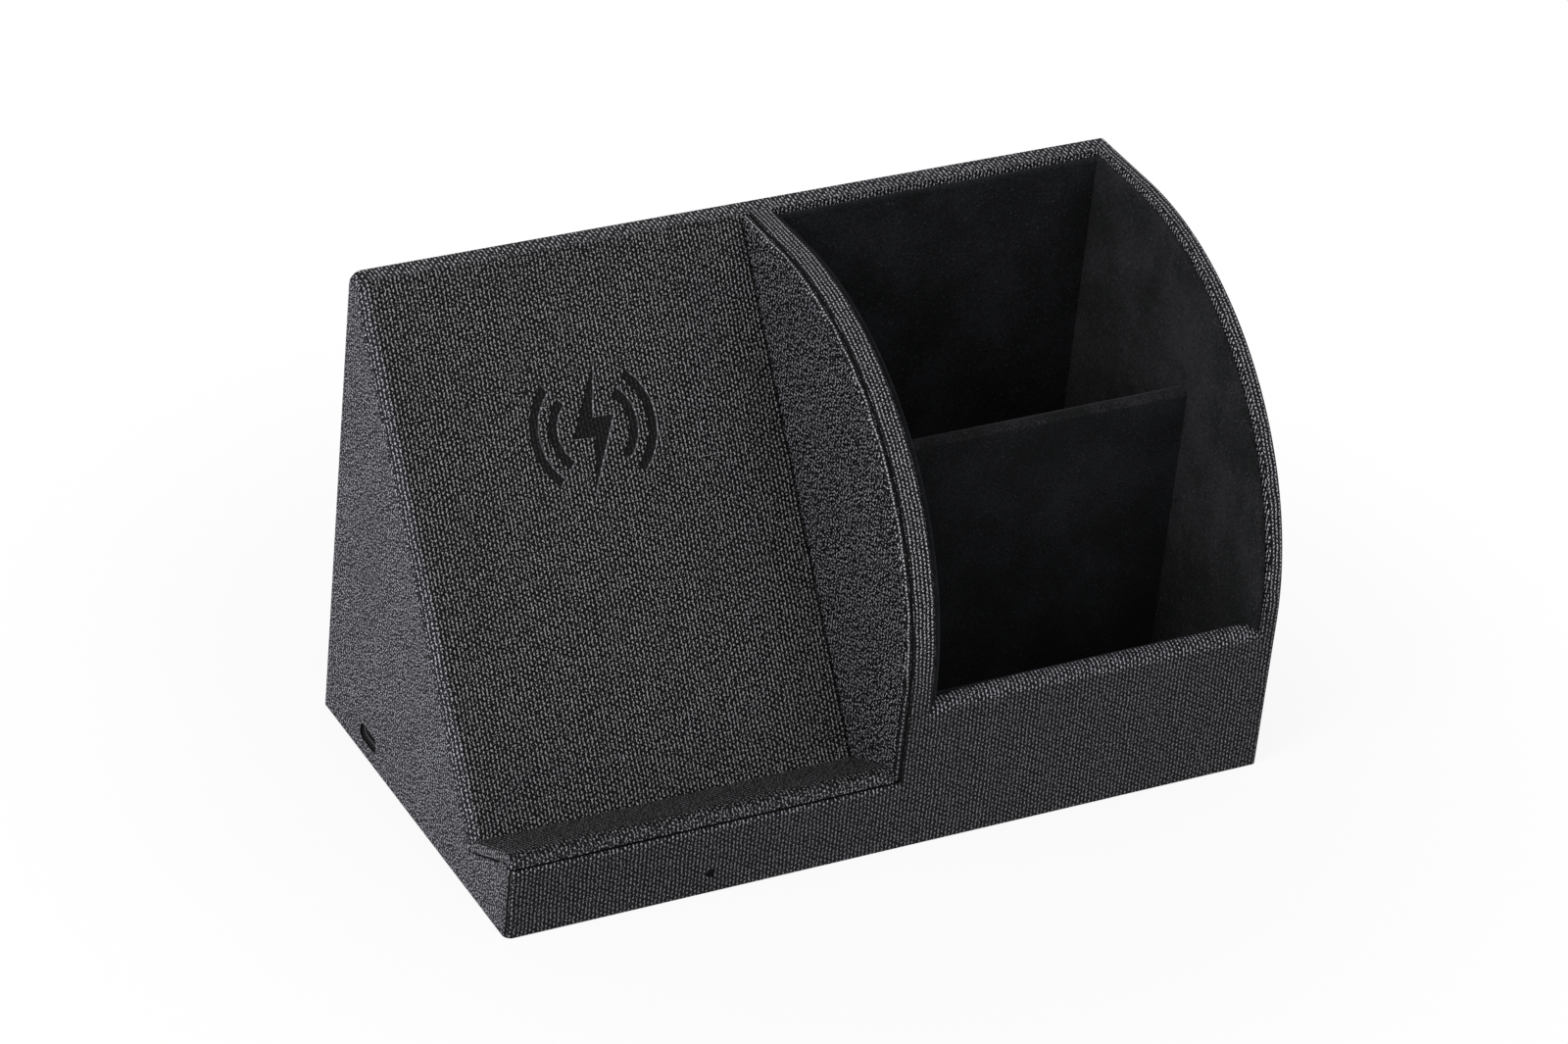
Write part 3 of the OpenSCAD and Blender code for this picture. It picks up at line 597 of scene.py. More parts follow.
# Lighter leatherette for rounded edges that face the key lamp: painted highlight
leather_edge_highlight = linen("leatherette edge highlight", "#151518", "#3c3c40", "#aaaab0", grit=9.0)
leather_press = linen("leatherette pressed", "#070708", "#101011", "#2a2a2c", relief=0.02)
# The pictogram's lips, lighter where they face the key lamp: painted highlight
leather_lip_highlight = linen("leatherette lip highlight", "#464648", "#666668", "#a0a0a4", relief=0.02)
velvet_black = velvet("velvet", "#0b0c0c", "#1e1f21", "#6a6e78")
# Lighter velvet for the right liner, which faces the key lamp, and the cross divider's top: painted
# light
velvet_lit = velvet("velvet right", "#111212", "#29292b", "#6a6c72")
felt_black = felt_finish()
# Near-black matt finish for the slit under the ledge, the seams beside the panel and the slot's
# walls: painted shade
painted_shade_black = felt_finish("painted shade black", "#020202", "#0a0a0a")
case_plastic = plastic_finish("white plastic", "#e4e4e0", 0.45)
dark_plastic = plastic_finish("dark plastic", "#141416", 0.4)
# Mid grey for the socket's steel lip where it catches the light: painted highlight
socket_lip_highlight = plastic_finish("socket rim", "#5c5d61", 0.35)
clear_plastic = plastic_finish("light plastic", "#cfd8dc", 0.2)
smoked_plastic = plastic_finish("smoked plastic", "#020203", 0.5, pale="#0a0a0c", shine=0.05)


def dress(piece, slot, *materials):
    """Gives a piece its finishes and its body; slot is not used."""
    piece.data.materials.clear()
    for material in materials:
        piece.data.materials.append(material)
    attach(piece, "root")
    return piece


# Wraps

def make_front_wrap():
    """One face over the whole front, rolled over the well's front and over the low front."""
    rear = FRONT + CORNER
    piece = single_edge("front_wrap", (LEFT + CORNER, FRONT, 0), (SIDE + SOFT, FRONT, 0))
    draw_on((0, 0, WELL_FRONT - RIM_FRONT_R))
    for x in (SOFT, DIVIDER_RIGHT - SOFT):
        score((x, 0, 0), (1, 0, 0))
    for z in (WRAP_LOW, LOW_FRONT):
        score((0, 0, z), (0, 0, 1))
    clear_faces(piece, lambda f: f.calc_center_median().x < (DIVIDER_RIGHT - SOFT) * MM
                and f.calc_center_median().z > LOW_FRONT * MM)
    clear_faces(piece, lambda f: SOFT * MM < f.calc_center_median().x < (DIVIDER_RIGHT - SOFT) * MM
                and f.calc_center_median().z > WRAP_LOW * MM)
    # The left corner
    pick(piece, "edges", lambda e: along(e, x=LEFT + CORNER))
    sweep((LEFT + CORNER, rear, 0), (0, 0, -1), 90, 6)
    # The low front's top, turned in and rolled
    pick(piece, "edges", lambda e: along(e, z=LOW_FRONT) and e.is_boundary)
    draw_on((0, 3.2, 0))
    round_off(piece, LOW_ROLL, 6, lambda e: along(e, z=LOW_FRONT) and any(
        f.calc_center_median().z < (LOW_FRONT - 0.5) * MM for f in e.link_faces))
    # The well front's rounded top and its turned-in back
    top = WELL_FRONT - RIM_FRONT_R
    pick(piece, "edges", lambda e: along(e, z=top, y=FRONT))
    sweep((0, FRONT + RIM_FRONT_R, top), (-1, 0, 0), 90, 10)
    pick(piece, "edges", lambda e: along(e, z=WELL_FRONT, y=FRONT + RIM_FRONT_R))
    sweep((0, FRONT_REAR - RIM_REAR_R, WELL_FRONT - RIM_REAR_R), (-1, 0, 0), 90, 6)
    pick(piece, "edges", lambda e: along(e, z=WELL_FRONT - RIM_REAR_R, y=FRONT_REAR))
    draw_on((0, 0, -TURN_IN))
    sink_ends(piece, WELL_FRONT - 3.4)
    face_out(piece, (0, 0, 20))
    thicken(piece)
    carve(piece, light_cutter())
    smooth(piece)
    lay_out(piece, front_lay)
    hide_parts("front_cover")
    dress(piece, "leatherette", leather_front, leather_nose_highlight, painted_shade_black)

    def low_roll(c):
        return c.x < SOFT and c.z > LOW_FRONT - LOW_ROLL

    def well_roll(c):
        left_end = c.x < DIVIDER_RIGHT * 2
        return c.z > WELL_FRONT - RIM_FRONT_R - (1.2 if left_end else 0)
    # Painted highlight: the rolled tops take the lighter nose colours
    paint(piece, 1, lambda c, n: well_roll(c) or low_roll(c))
    # Painted shade: the low roll's top, in the slit under the ledge, is near black
    paint(piece, 2, lambda c, n: low_roll(c) and n.z > 0.7)
    return piece


def paint(piece, number, wanted):
    """Gives one of a piece's finishes to the faces whose middle and direction pass a test."""
    for face in piece.data.polygons:
        if wanted(face.center / MM, face.normal):
            face.material_index = number


def sink_ends(piece, above):
    """Sinks the top of the well's front wall towards both of its ends."""
    for x, _ in SUNK[1:-1]:
        score((x, 0, 0), (1, 0, 0))
    for x, depth in SUNK:
        pick(piece, "verts", lambda v: abs(v.co.x / MM - x) < 0.3 and v.co.z > above * MM)
        bpy.ops.transform.translate(value=(0, 0, -depth * MM))


def front_lay(corner, direction):
    """Across the front, and up it and over its rounded top."""
    if abs(direction.x) > 0.7:
        return corner.y, corner.z
    return corner.x, corner.z + (corner.y - FRONT) * (1 - abs(direction.y)) * 0.9


def light_cutter():
    """The hole for the light pipe, low in the front wall."""
    put_down()
    bpy.ops.mesh.primitive_cylinder_add(vertices=40, radius=LIGHT_HOLE * MM, depth=12 * MM,
                                        location=(LIGHT_X * MM, FRONT * MM, LIGHT_Z * MM),
                                        rotation=(math.pi / 2, 0, 0))
    piece = take_up("light_cutter")
    put_down()
    return piece


def make_front_core():
    """The board inside the front wrap: low under the ledge, stepped up at the well."""
    low_top, top = LOW_FRONT - SKIN, WELL_FRONT - SKIN
    near_face, far_face = FRONT + SKIN, FRONT_REAR - SKIN
    right = SIDE + SKIN
    piece = block("front_core", (END_INNER, near_face, SKIN), (right, far_face, low_top))
    score((DIVIDER_RIGHT, 0, 0), (1, 0, 0))
    pick(piece, "faces", lambda f: along(f, z=low_top)
         and f.calc_center_median().x > DIVIDER_RIGHT * MM)
    bpy.ops.mesh.extrude_region_move(TRANSFORM_OT_translate={
        "value": (0, 0, (top - low_top) * MM)})
    round_off(piece, RIM_FRONT_R - SKIN, 8, lambda e: along(e, y=near_face, z=top))
    round_off(piece, RIM_REAR_R - SKIN, 4, lambda e: along(e, y=far_face, z=top))
    sink_ends(piece, top - 2.6)
    carve(piece, light_cutter())
    smooth(piece)
    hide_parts("front_board")
    return dress(piece, "board", board_black_for_shade)


def curved_block(name, x0, x1, low, inset, rear):
    """A wall with the curved front edge, drawn in by an inset."""
    piece = block(name, (x0, FRONT + inset, low), (x1, rear, TOP - inset))
    round_off(piece, CURVE - inset, CURVE_STEPS,
              lambda e: along(e, y=FRONT + inset, z=TOP - inset))
    return piece


def open_wall(piece, x, band):
    """Leaves only a band along the rim of the wall's face at a place."""
    pick(piece, "faces", lambda f: along(f, x=x))
    bpy.ops.mesh.inset(thickness=band * MM, depth=0, use_even_offset=True)
    bpy.ops.mesh.delete(type="FACE")


def make_divider_wrap():
    """The divider's left face and rim, rolled over both long edges, and the band turned in."""
    rear = RIM_BACK + SOFT
    piece = curved_block("divider_wrap", DIVIDER, DIVIDER_RIGHT, WRAP_LOW, 0, rear)
    round_off(piece, SOFT, 6, lambda e: (along(e, x=DIVIDER) or along(e, x=DIVIDER_RIGHT))
              and not along(e, z=WRAP_LOW) and not along(e, y=rear))
    clear_faces(piece, lambda f: along(f, z=WRAP_LOW) or along(f, y=rear))
    open_wall(piece, DIVIDER_RIGHT, TURN_IN)
    thicken(piece)
    smooth(piece)
    lay_out(piece, wall_lay)
    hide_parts("divider_cover")
    dress(piece, "leatherette", leather_rim_lit, painted_shade_black)
    # Painted shade: the roll beside the panel is near black, the seam's dark line
    paint(piece, 1, lambda c, n: n.x < -0.75 and c.x < 1)
    return piece


def make_side_wrap():
    """The right wall: its outer face, its curved rim and the band turned in over it."""
    rear = RIM_BACK + SOFT
    piece = curved_block("side_wrap", SIDE, RIGHT, 0, 0, rear)
    round_off(piece, SOFT, 5, lambda e: along(e, x=SIDE) and not along(e, z=0)
              and not along(e, y=rear))
    round_off(piece, OUTER_ROLL, 6, lambda e: along(e, x=RIGHT) and not along(e, z=0)
              and not along(e, y=rear))
    clear_faces(piece, lambda f: along(f, z=0) or along(f, y=rear))
    open_wall(piece, SIDE, TURN_IN)
    thicken(piece)
    smooth(piece)
    lay_out(piece, wall_lay)
    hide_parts("side_cover")
    dress(piece, "leatherette", leather_rim_lit, leather_front)
    # The outer right face keeps the front's colours, without the rim's lighter top
    paint(piece, 1, lambda c, n: n.x > 0.9)
    return piece


def make_back_wrap():
    """The back, both of its ends, the flat top rim and the band turned in over it."""
    piece = block("back_wrap", (LEFT, RIM_BACK, 0), (RIGHT, BACK, TOP))
    round_off(piece, EDGE, 9, lambda e: along(e, x=LEFT, z=TOP))
    round_off(piece, OUTER_ROLL, 6, lambda e: along(e, x=RIGHT, z=TOP))
    round_off(piece, 0.7, 5, lambda e: along(e, y=BACK) and not along(e, z=0))
    round_off(piece, SOFT, 5, lambda e: along(e, y=RIM_BACK, z=TOP))
    score((0, 0, BAND_LOW), (0, 0, 1))
    score((0, RIM_BACK + SOFT, 0), (0, 1, 0))
    clear_faces(piece, lambda f: along(f, x=RIGHT)
                and f.calc_center_median().y < (RIM_BACK + SOFT) * MM)
    clear_faces(piece, lambda f: along(f, z=0) or (along(f, y=RIM_BACK)
                and f.calc_center_median().z < BAND_LOW * MM))
    thicken(piece)
    smooth(piece)
    lay_out(piece, flat_lay)
    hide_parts("back_cover")
    dress(piece, "leatherette", leather_rim_lit, leather_end_lit, leather_front, leather_edge_highlight)
    # Painted light: the left end of the back takes the lit end colours
    paint(piece, 1, lambda c, n: n.x < -0.7 and c.x < 0)
    # The back and right end keep the front's colours, without the rim's lighter top
    paint(piece, 2, lambda c, n: n.y > 0.9 or n.x > 0.9)
    # Painted highlight: the left half of the rim's front roll takes the lighter edge colours
    paint(piece, 3, lambda c, n: n.y < -0.25 and n.z > 0.4 and c.x < 0)
    return piece


def stadium(name, x, size, depth):
    """A block with round ends at the inlet, from a place on the left inwards."""
    length, height = size
    piece = block(name, (x, INLET_Y - length / 2, INLET_Z - height / 2),
                  (x + depth, INLET_Y + length / 2, INLET_Z + height / 2))
    round_off(piece, height / 2 - 0.02, 12,
              lambda e: abs(e.verts[0].co.x - e.verts[1].co.x) > MM)
    put_down()
    return piece


def inlet_cutter():
    """The slot through the left end."""
    return stadium("slot_cutter", LEFT - 2, SLOT, 7)


def make_socket_shell():
    """The socket's shell, a little way inside the slot."""
    piece = stadium("socket_shell", LEFT + 1.1, SHELL, 7.8)
    carve(piece, stadium("mouth_cutter", LEFT, MOUTH, 8))
    smooth(piece)
    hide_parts("usb_socket")
    dress(piece, "socket_steel", dark_plastic, socket_lip_highlight)
    # The steel shell is dark plastic, painted shade inside the slot; its front lip is a painted
    # highlight
    paint(piece, 1, lambda c, n: n.x < -0.9)
    return piece


def end_shape(slope_depth, ledge_depth, low_top, front, rear):
    """The end's outline: its top follows the slope, and a hollow line under the ledge's end."""
    fold = Vector((FOLD_Y, FOLD_Z))
    up, down = Vector((math.cos(SLOPE), math.sin(SLOPE))), Vector((-math.cos(TILT), math.sin(TILT)))
    on_slope_line = fold + Vector((math.sin(SLOPE), -math.cos(SLOPE))) * slope_depth
    on_ledge_line = fold - Vector((math.sin(TILT), math.cos(TILT))) * ledge_depth
    gap = on_ledge_line - on_slope_line
    along_slope = (gap.x * down.y - gap.y * down.x) / (up.x * down.y - up.y * down.x)
    start = on_slope_line + up * along_slope
    length = (low_top - start.y) / down.y
    shape = [Vector((front, 0)), Vector((rear, 0)),
             on_slope_line + up * ((rear - on_slope_line.x) / up.x)]
    steps = 12
    for step in range(steps + 1):
        share = step / steps
        shape.append(start + down * length * share
                     - Vector((0, HOLLOW * math.sin(math.pi * share))))
    return shape + [Vector((front, low_top))]


def make_end_wrap():
    """The left end, under the rounded edge of the slope, with the inlet's slot."""
    shape = end_shape(EDGE + 0.4, LEDGE + 0.12, LOW_FRONT, FRONT + CORNER, RIM_BACK)
    piece = outline("end_wrap", [(LEFT, y, z) for y, z in shape], (SKIN, 0, 0))
    carve(piece, inlet_cutter())
    smooth(piece)
    lay_out(piece, flat_lay)
    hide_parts("end_cover")
    # Painted light: the end takes the lit end colours
    dress(piece, "leatherette", leather_end_lit, painted_shade_black)
    # Painted shade: the slot's walls are near black
    paint(piece, 1, lambda c, n: abs(n.x) < 0.5 and math.hypot(c.y - INLET_Y, c.z - INLET_Z) < 6)
    return piece


def make_end_core():
    """The board inside the left end, a little below the ledge."""
    shape = end_shape(EDGE + 0.6, LEDGE + 0.8, LOW_FRONT - SKIN, FRONT + SKIN, BACK - 4.9)
    piece = outline("end_core", [(LEFT + SKIN, y, max(z, SKIN)) for y, z in shape],
                    (END_INNER - LEFT - SKIN, 0, 0))
    carve(piece, inlet_cutter())
    smooth(piece)
    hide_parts("end_board")
    return dress(piece, "board", board_black_for_shade)


def close_up():
    """Merges a cut's corners and closes the open outline of the piece in hand."""
    pick_all()
    bpy.ops.mesh.remove_doubles(threshold=MERGE)
    pick_all()
    bpy.ops.mesh.fill_holes(sides=0)
    pick_all()
    bpy.ops.mesh.normals_make_consistent(inside=False)


def on_slope(piece):
    """Turns a piece drawn flat about the fold up onto the slope."""
    put_down()
    piece.data.transform(Matrix.Translation(Vector((0, FOLD_Y, FOLD_Z)) * MM)
                         @ Matrix.Rotation(SLOPE, 4, "X"))


def make_slope_wrap():
    """The slope: rounded left edge, pressed pictogram, cut square to the back rim on top."""
    right, low = DIVIDER - PANEL - SEAM * 1.5, -EDGE - 0.4
    # Longer at first than the slope, to be cut at both ends
    start, end = -6, SLOPE_LENGTH + 6
    piece = block("slope_wrap", (LEFT, start, low), (right, end, 0))
    round_off(piece, EDGE, 10, lambda e: along(e, x=LEFT, z=0))
    round_off(piece, SLOPE_SKIN, 5, lambda e: along(e, x=right, z=0))
    clear_faces(piece, lambda f: along(f, z=low) or along(f, x=right)
                or along(f, y=start) or along(f, y=end))
    thicken(piece, SLOPE_SKIN)
    for cutter in pictogram_cutters():
        carve(piece, cutter)
    edit(piece)
    mark = Vector((MARK_X, MARK_UP))
    pick(piece, "edges", lambda e: along(e, z=0)
         and any(abs(f.normal.z) < 0.5 for f in e.link_faces)
         and (e.verts[0].co.xy / MM - mark).length < MARK_REACH)
    bevel(LIP, 2)
    put_down()
    for kind in (leather_slope, leather_press, leather_lip_highlight, leather_edge_highlight, leather_end_lit):
        piece.data.materials.append(kind)

    def in_mark(c, top):
        return (c.xy - mark).length < MARK_REACH and -PRESS - CLOSE < c.z < top
    # Painted highlight: the rounded left edge, where it turns towards the key lamp, takes the
    # lighter edge colours
    paint(piece, 3, lambda c, n: n.x < -0.3)
    # Painted light: the faces that look left take the lit end colours
    paint(piece, 4, lambda c, n: n.x < -0.94)
    paint(piece, 0, lambda c, n: in_mark(c, SEAM))
    # The lip is a painted highlight where it doesn't look to the right
    paint(piece, 2, lambda c, n: in_mark(c, -0.01))
    paint(piece, 1, lambda c, n: in_mark(c, -LIP - 0.01) or (in_mark(c, -0.01) and n.x >= 0.1))
    on_slope(piece)
    edit(piece)
    cut_away((0, RIM_BACK - SEAM, 0), (0, 1, 0))
    mitre = (SLOPE + math.pi - TILT) / 2
    cut_away((0, FOLD_Y, FOLD_Z), (0, -math.sin(mitre), math.cos(mitre)))
    close_up()
    smooth(piece)
    lay_out(piece, slope_lay)
    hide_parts("slope_cover")
    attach(piece, "root")
    return piece


def slope_lay(corner, direction):
    """Across the slope and round its left edge, and up the slope."""
    up = (corner - Vector((0, FOLD_Y, FOLD_Z))).dot(Vector((0, math.cos(SLOPE), math.sin(SLOPE))))
    out = LEFT + EDGE - corner.x
    if out <= 0:
        return corner.x, up
    return LEFT + EDGE - EDGE * math.asin(min(1, out / EDGE)), up


def pictogram_cutters():
    """A bolt between two pairs of arcs, as blocks to press into the slope."""
    cutters = []
    bolt = outline("bolt_cutter", [(MARK_X + x, MARK_UP + y, -PRESS) for x, y in BOLT], (0, 0, 2))
    put_down()
    cutters.append(bolt)
    for radius in ARC_RADII:
        for middle in (0, math.pi):
            centre = Vector((MARK_X, MARK_UP, -PRESS))
            first = Vector((math.cos(middle - ARC_HALF), math.sin(middle - ARC_HALF), 0))
            arc = single_edge("arc_cutter", centre + first * (radius - STROKE / 2),
                              centre + first * (radius + STROKE / 2))
            sweep(centre, (0, 0, 1), math.degrees(2 * ARC_HALF), 28)
            push_out((0, 0, 2))
            put_down()
            cutters.append(arc)
    return cutters


def make_ledge_wrap():
    """The ledge board's wrap, with the rounded nose along its front."""
    right = DIVIDER - PANEL - SEAM
    rise = math.tan(TILT)
    nose_top = FOLD_Z + (FOLD_Y - FRONT) * rise
    piece = single_edge("ledge_wrap", (LEFT, FRONT, LEDGE_SEAT), (right, FRONT, LEDGE_SEAT))
    # The underside ends at the mitre with the slope
    mitre_run = LEDGE / math.tan((math.pi - SLOPE - TILT) / 2)
    low_end = Vector((FOLD_Y, FOLD_Z)) - Vector((math.sin(TILT), math.cos(TILT))) * LEDGE \
        + Vector((-math.cos(TILT), math.sin(TILT))) * -mitre_run
    seat = (FRONT, LEDGE_SEAT)
    walk = [seat, (FRONT, nose_top), (FOLD_Y, FOLD_Z), low_end, (LEDGE_FLAT, LEDGE_SEAT), seat]
    for here, there in zip(walk, walk[1:]):
        draw_on((0, there[0] - here[0], there[1] - here[1]))
    pick_all()
    bpy.ops.mesh.remove_doubles(threshold=MERGE)
    pick(piece, "edges", lambda e: along(e, x=LEFT))
    bpy.ops.mesh.edge_face_add()
    pick(piece, "edges", lambda e: along(e, x=right))
    bpy.ops.mesh.edge_face_add()
    round_off(piece, nose_top - LEDGE_SEAT - NOSE_FOOT, 14,
              lambda e: along(e, y=FRONT, z=nose_top))

    def below(v):
        """Whether a corner lies behind the nose and below the ledge's top."""
        return v.co.z / MM < FOLD_Z + (FOLD_Y - v.co.y / MM) * rise - 0.05 \
            and v.co.y > (FRONT + 1) * MM
    round_off(piece, 1.1, 5, lambda e: along(e, x=LEFT) and not any(below(v) for v in e.verts))
    pick_all()
    bpy.ops.mesh.normals_make_consistent(inside=False)
    thicken(piece, LEDGE_SKIN)
    smooth(piece)
    lay_out(piece, ledge_lay)
    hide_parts("ledge_cover")
    dress(piece, "leatherette", leather_ledge, painted_shade_black, leather_edge_highlight)
    # Painted highlight: the ledge's left end takes the lighter edge colours
    paint(piece, 2, lambda c, n: n.x < -0.3 and c.x < LEFT + 2)
    # Painted shade: the underside, seen in the slit under the nose, is near black
    paint(piece, 1, lambda c, n: n.z < -0.6)
    return piece


def ledge_lay(corner, direction):
    """Across the ledge, and from the fold along its top and round its nose. The pattern is drawn
    out along the top, which the photograph shows almost edge on."""
    if abs(direction.x) > 0.7:
        return corner.y, corner.z
    nose = Vector((FRONT + NOSE, LEDGE_SEAT + NOSE_FOOT))
    out = nose.x - corner.y
    if out < -math.sin(TILT) * NOSE:
        return corner.x, (FOLD_Y - corner.y) / math.cos(TILT) * SQUEEZE
    lean = math.atan2(corner.z - nose.y, out)
    end = (FOLD_Y - nose.x) / math.cos(TILT) * SQUEEZE
    return corner.x, end + NOSE * (math.pi / 2 + TILT - lean)


def panel_shape(inset, rear):
    """The panel's outline: its foot stands on the slope and beside the ledge, and its front
    follows the divider's curve. inset draws the whole outline in."""
    steep, rise = math.tan(SLOPE), math.tan(TILT)
    slope_drop = (PANEL_FOOT - inset) / math.cos(SLOPE)
    ledge_drop = (LEDGE - inset) / math.cos(TILT)

    def slope_at(y):
        return FOLD_Z + (y - FOLD_Y) * steep - slope_drop

    def ledge_at(y):
        return FOLD_Z + (FOLD_Y - y) * rise - ledge_drop
    meet = FOLD_Y + (slope_drop - ledge_drop) / (steep + rise)
    reach = CURVE - PANEL_STEP - inset
    shape = [(CURVE_Y - reach, LEDGE_SEAT + inset)]
    for step in range(CURVE_STEPS + 1):
        angle = math.pi / 2 * step / CURVE_STEPS
        shape.append((CURVE_Y - reach * math.cos(angle), CURVE_Z + reach * math.sin(angle)))
    return shape + [(rear, CURVE_Z + reach), (rear, slope_at(rear)), (meet, ledge_at(meet)),
                    (LEDGE_FLAT, max(ledge_at(LEDGE_FLAT), LEDGE_SEAT + inset))]


def make_panel_wrap():
    """The thin panel on the divider's left face, rounded along its curved edge."""
    left, right, rear = DIVIDER - PANEL, DIVIDER - SEAM, RIM_BACK - SEAM
    piece = outline("panel_wrap", [(left, y, z) for y, z in panel_shape(0, rear)],
                    (right - left, 0, 0))

    def on_curve(place, within=0.05):
        """Whether a place in metres lies on the panel's curved edge."""
        y, z = place.y / MM, place.z / MM
        edge = math.hypot(max(CURVE_Y - y, 0), max(z - CURVE_Z, 0))
        return abs(edge - (CURVE - PANEL_STEP)) < within
    round_off(piece, 1.1, 6, lambda e: along(e, x=left) and all(on_curve(v.co) for v in e.verts))
    round_off(piece, 0.25, 3, lambda e: along(e, x=right) and all(on_curve(v.co) for v in e.verts))
    clear_faces(piece, lambda f: along(f, y=rear))
    thicken(piece, PANEL_SKIN)
    smooth(piece)
    lay_out(piece, panel_lay)
    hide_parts("panel_cover")
    dress(piece, "leatherette", leather_panel, leather_rim_lit, painted_shade_black)
    # Painted highlight: the panel's rounded curved edge takes the lit rim colours
    paint(piece, 1, lambda c, n: -0.9 < n.x < 0.3 and on_curve(c * MM, 1.3))
    # Painted shade: the right face and roll, in the seam against the divider, are near black
    paint(piece, 2, lambda c, n: n.x > 0.3)
    return piece


def make_panel_core():
    """The card inside the panel."""
    left, right = DIVIDER - PANEL + 0.35, DIVIDER - 0.45
    shape = panel_shape(CARD_INSET, RIM_BACK - CARD_INSET)
    piece = outline("panel_core", [(left, y, z) for y, z in shape], (right - left, 0, 0))
    smooth(piece)
    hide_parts("panel_card")
    return dress(piece, "card", board_black_for_shade)


# Velvet

def curved_velvet(name, node, x0, x1, open_x, finish):
    """Velvet over a liner with the curved edge, rolled over its top."""
    piece = curved_block(name, x0, x1, BASE_TOP, LINER_STEP, RIM_BACK)
    round_off(piece, 0.7, 4, lambda e: (along(e, x=x0) or along(e, x=x1))
              and not along(e, z=BASE_TOP) and not along(e, y=RIM_BACK))
    clear_faces(piece, lambda f: along(f, z=BASE_TOP) or along(f, y=RIM_BACK)
                or along(f, x=open_x))
    thicken(piece, PILE)
    smooth(piece)
    lay_out(piece, wall_lay)
    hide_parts(node)
    return dress(piece, "velvet", finish)


def flat_velvet(name, node, low, high, open_face, roll):
    """Velvet over a straight liner, rolled over its top."""
    piece = block(name, low, high)
    round_off(piece, roll, 5, lambda e: along(e, z=high[2])
              and abs(e.verts[0].co.x - e.verts[1].co.x) > MM)
    clear_faces(piece, lambda f: along(f, z=low[2]) or open_face(f))
    thicken(piece, PILE)
    smooth(piece)
    lay_out(piece, flat_lay)
    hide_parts(node)
    return dress(piece, "velvet", velvet_black)


def make_velvet():
    """The velvet over the well's four liners, its cross divider and its floor."""
    left, right = DIVIDER_RIGHT + LINER, SIDE - LINER
    front, rear = FRONT_REAR + LINER, RIM_BACK - LINER
    curved_velvet("left_velvet", "left_liner_velvet", DIVIDER_RIGHT, left, DIVIDER_RIGHT,
                  velvet_black)
    # Painted light: the right liner takes the lighter velvet
    curved_velvet("right_velvet", "right_liner_velvet", right, SIDE, SIDE, velvet_lit)
    flat_velvet("back_velvet", "back_liner_velvet", (left, rear, BASE_TOP),
                (right, RIM_BACK, TOP - LINER_STEP), lambda f: along(f, y=RIM_BACK), SOFT)
    flat_velvet("front_velvet", "front_liner_velvet", (left, FRONT_REAR, BASE_TOP),
                (right, front, WELL_FRONT - LINER_STEP), lambda f: along(f, y=FRONT_REAR), SOFT)
    cross = flat_velvet("cross_cover", "cross_velvet", (left, CROSS_FRONT, FLOOR),
                        (right, CROSS_REAR, CROSS_TOP), lambda f: False, 1.9)
    cross.data.materials.append(velvet_lit)
    # Painted highlight: the cross divider's rolled top takes the lighter velvet
    paint(cross, 1, lambda c, n: n.z > 0.3 and c.z > CROSS_TOP - 2)
    piece = block("floor_cover", (left, front, FLOOR - SKIN), (right, rear, FLOOR))
    round_off(piece, 0.25, 2, lambda e: along(e, z=FLOOR))
    smooth(piece)
    lay_out(piece, flat_lay)
    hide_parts("floor_velvet")
    dress(piece, "velvet", velvet_black)


def make_felt():
    """The felt glued under the base, soft along its lower edge."""
    piece = block("felt_sheet", (LEFT + SKIN, FRONT + SKIN, 0), (RIGHT - SKIN, BACK - SKIN, FELT))
    round_off(piece, CORNER - SKIN, 6, lambda e: not along(e, z=0) and not along(e, z=FELT))
    round_off(piece, 0.2, 3, lambda e: along(e, z=0))
    smooth(piece)
    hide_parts("base_felt")
    dress(piece, "felt", felt_black)


board = board_finish("fibre board", "#8a6a45", "#b99a70", 1.4)
# Boards under the covers, black so that the gaps between covers look dark: painted shade
board_black_for_shade = board_finish("board black for shade", "#060606", "#101010", 1.4)
card = board_finish("grey card", "#75706a", "#a09a92", 2.2)
make_front_wrap()
make_front_core()
make_divider_wrap()
make_side_wrap()
make_back_wrap()
make_end_wrap()
make_end_core()
make_socket_shell()
make_slope_wrap()
make_ledge_wrap()
make_panel_wrap()
make_panel_core()
make_velvet()
make_felt()

# Finishes of the CAD pieces that show or lie inside
green_board = plastic_finish("circuit board", "#1e6b3a", 0.35)
ferrite = plastic_finish("ferrite", "#3b3b3d", 0.6)
foam = board_finish("foam", "#c8c4b8", "#e0dccf", 1.0)
screw_steel = metal_finish("screw steel", "#a9abb0", 0.32)
red_wire = plastic_finish("red lead", "#8c1f1f", 0.4)
white_wire = plastic_finish("white lead", "#d9d9d4", 0.4)

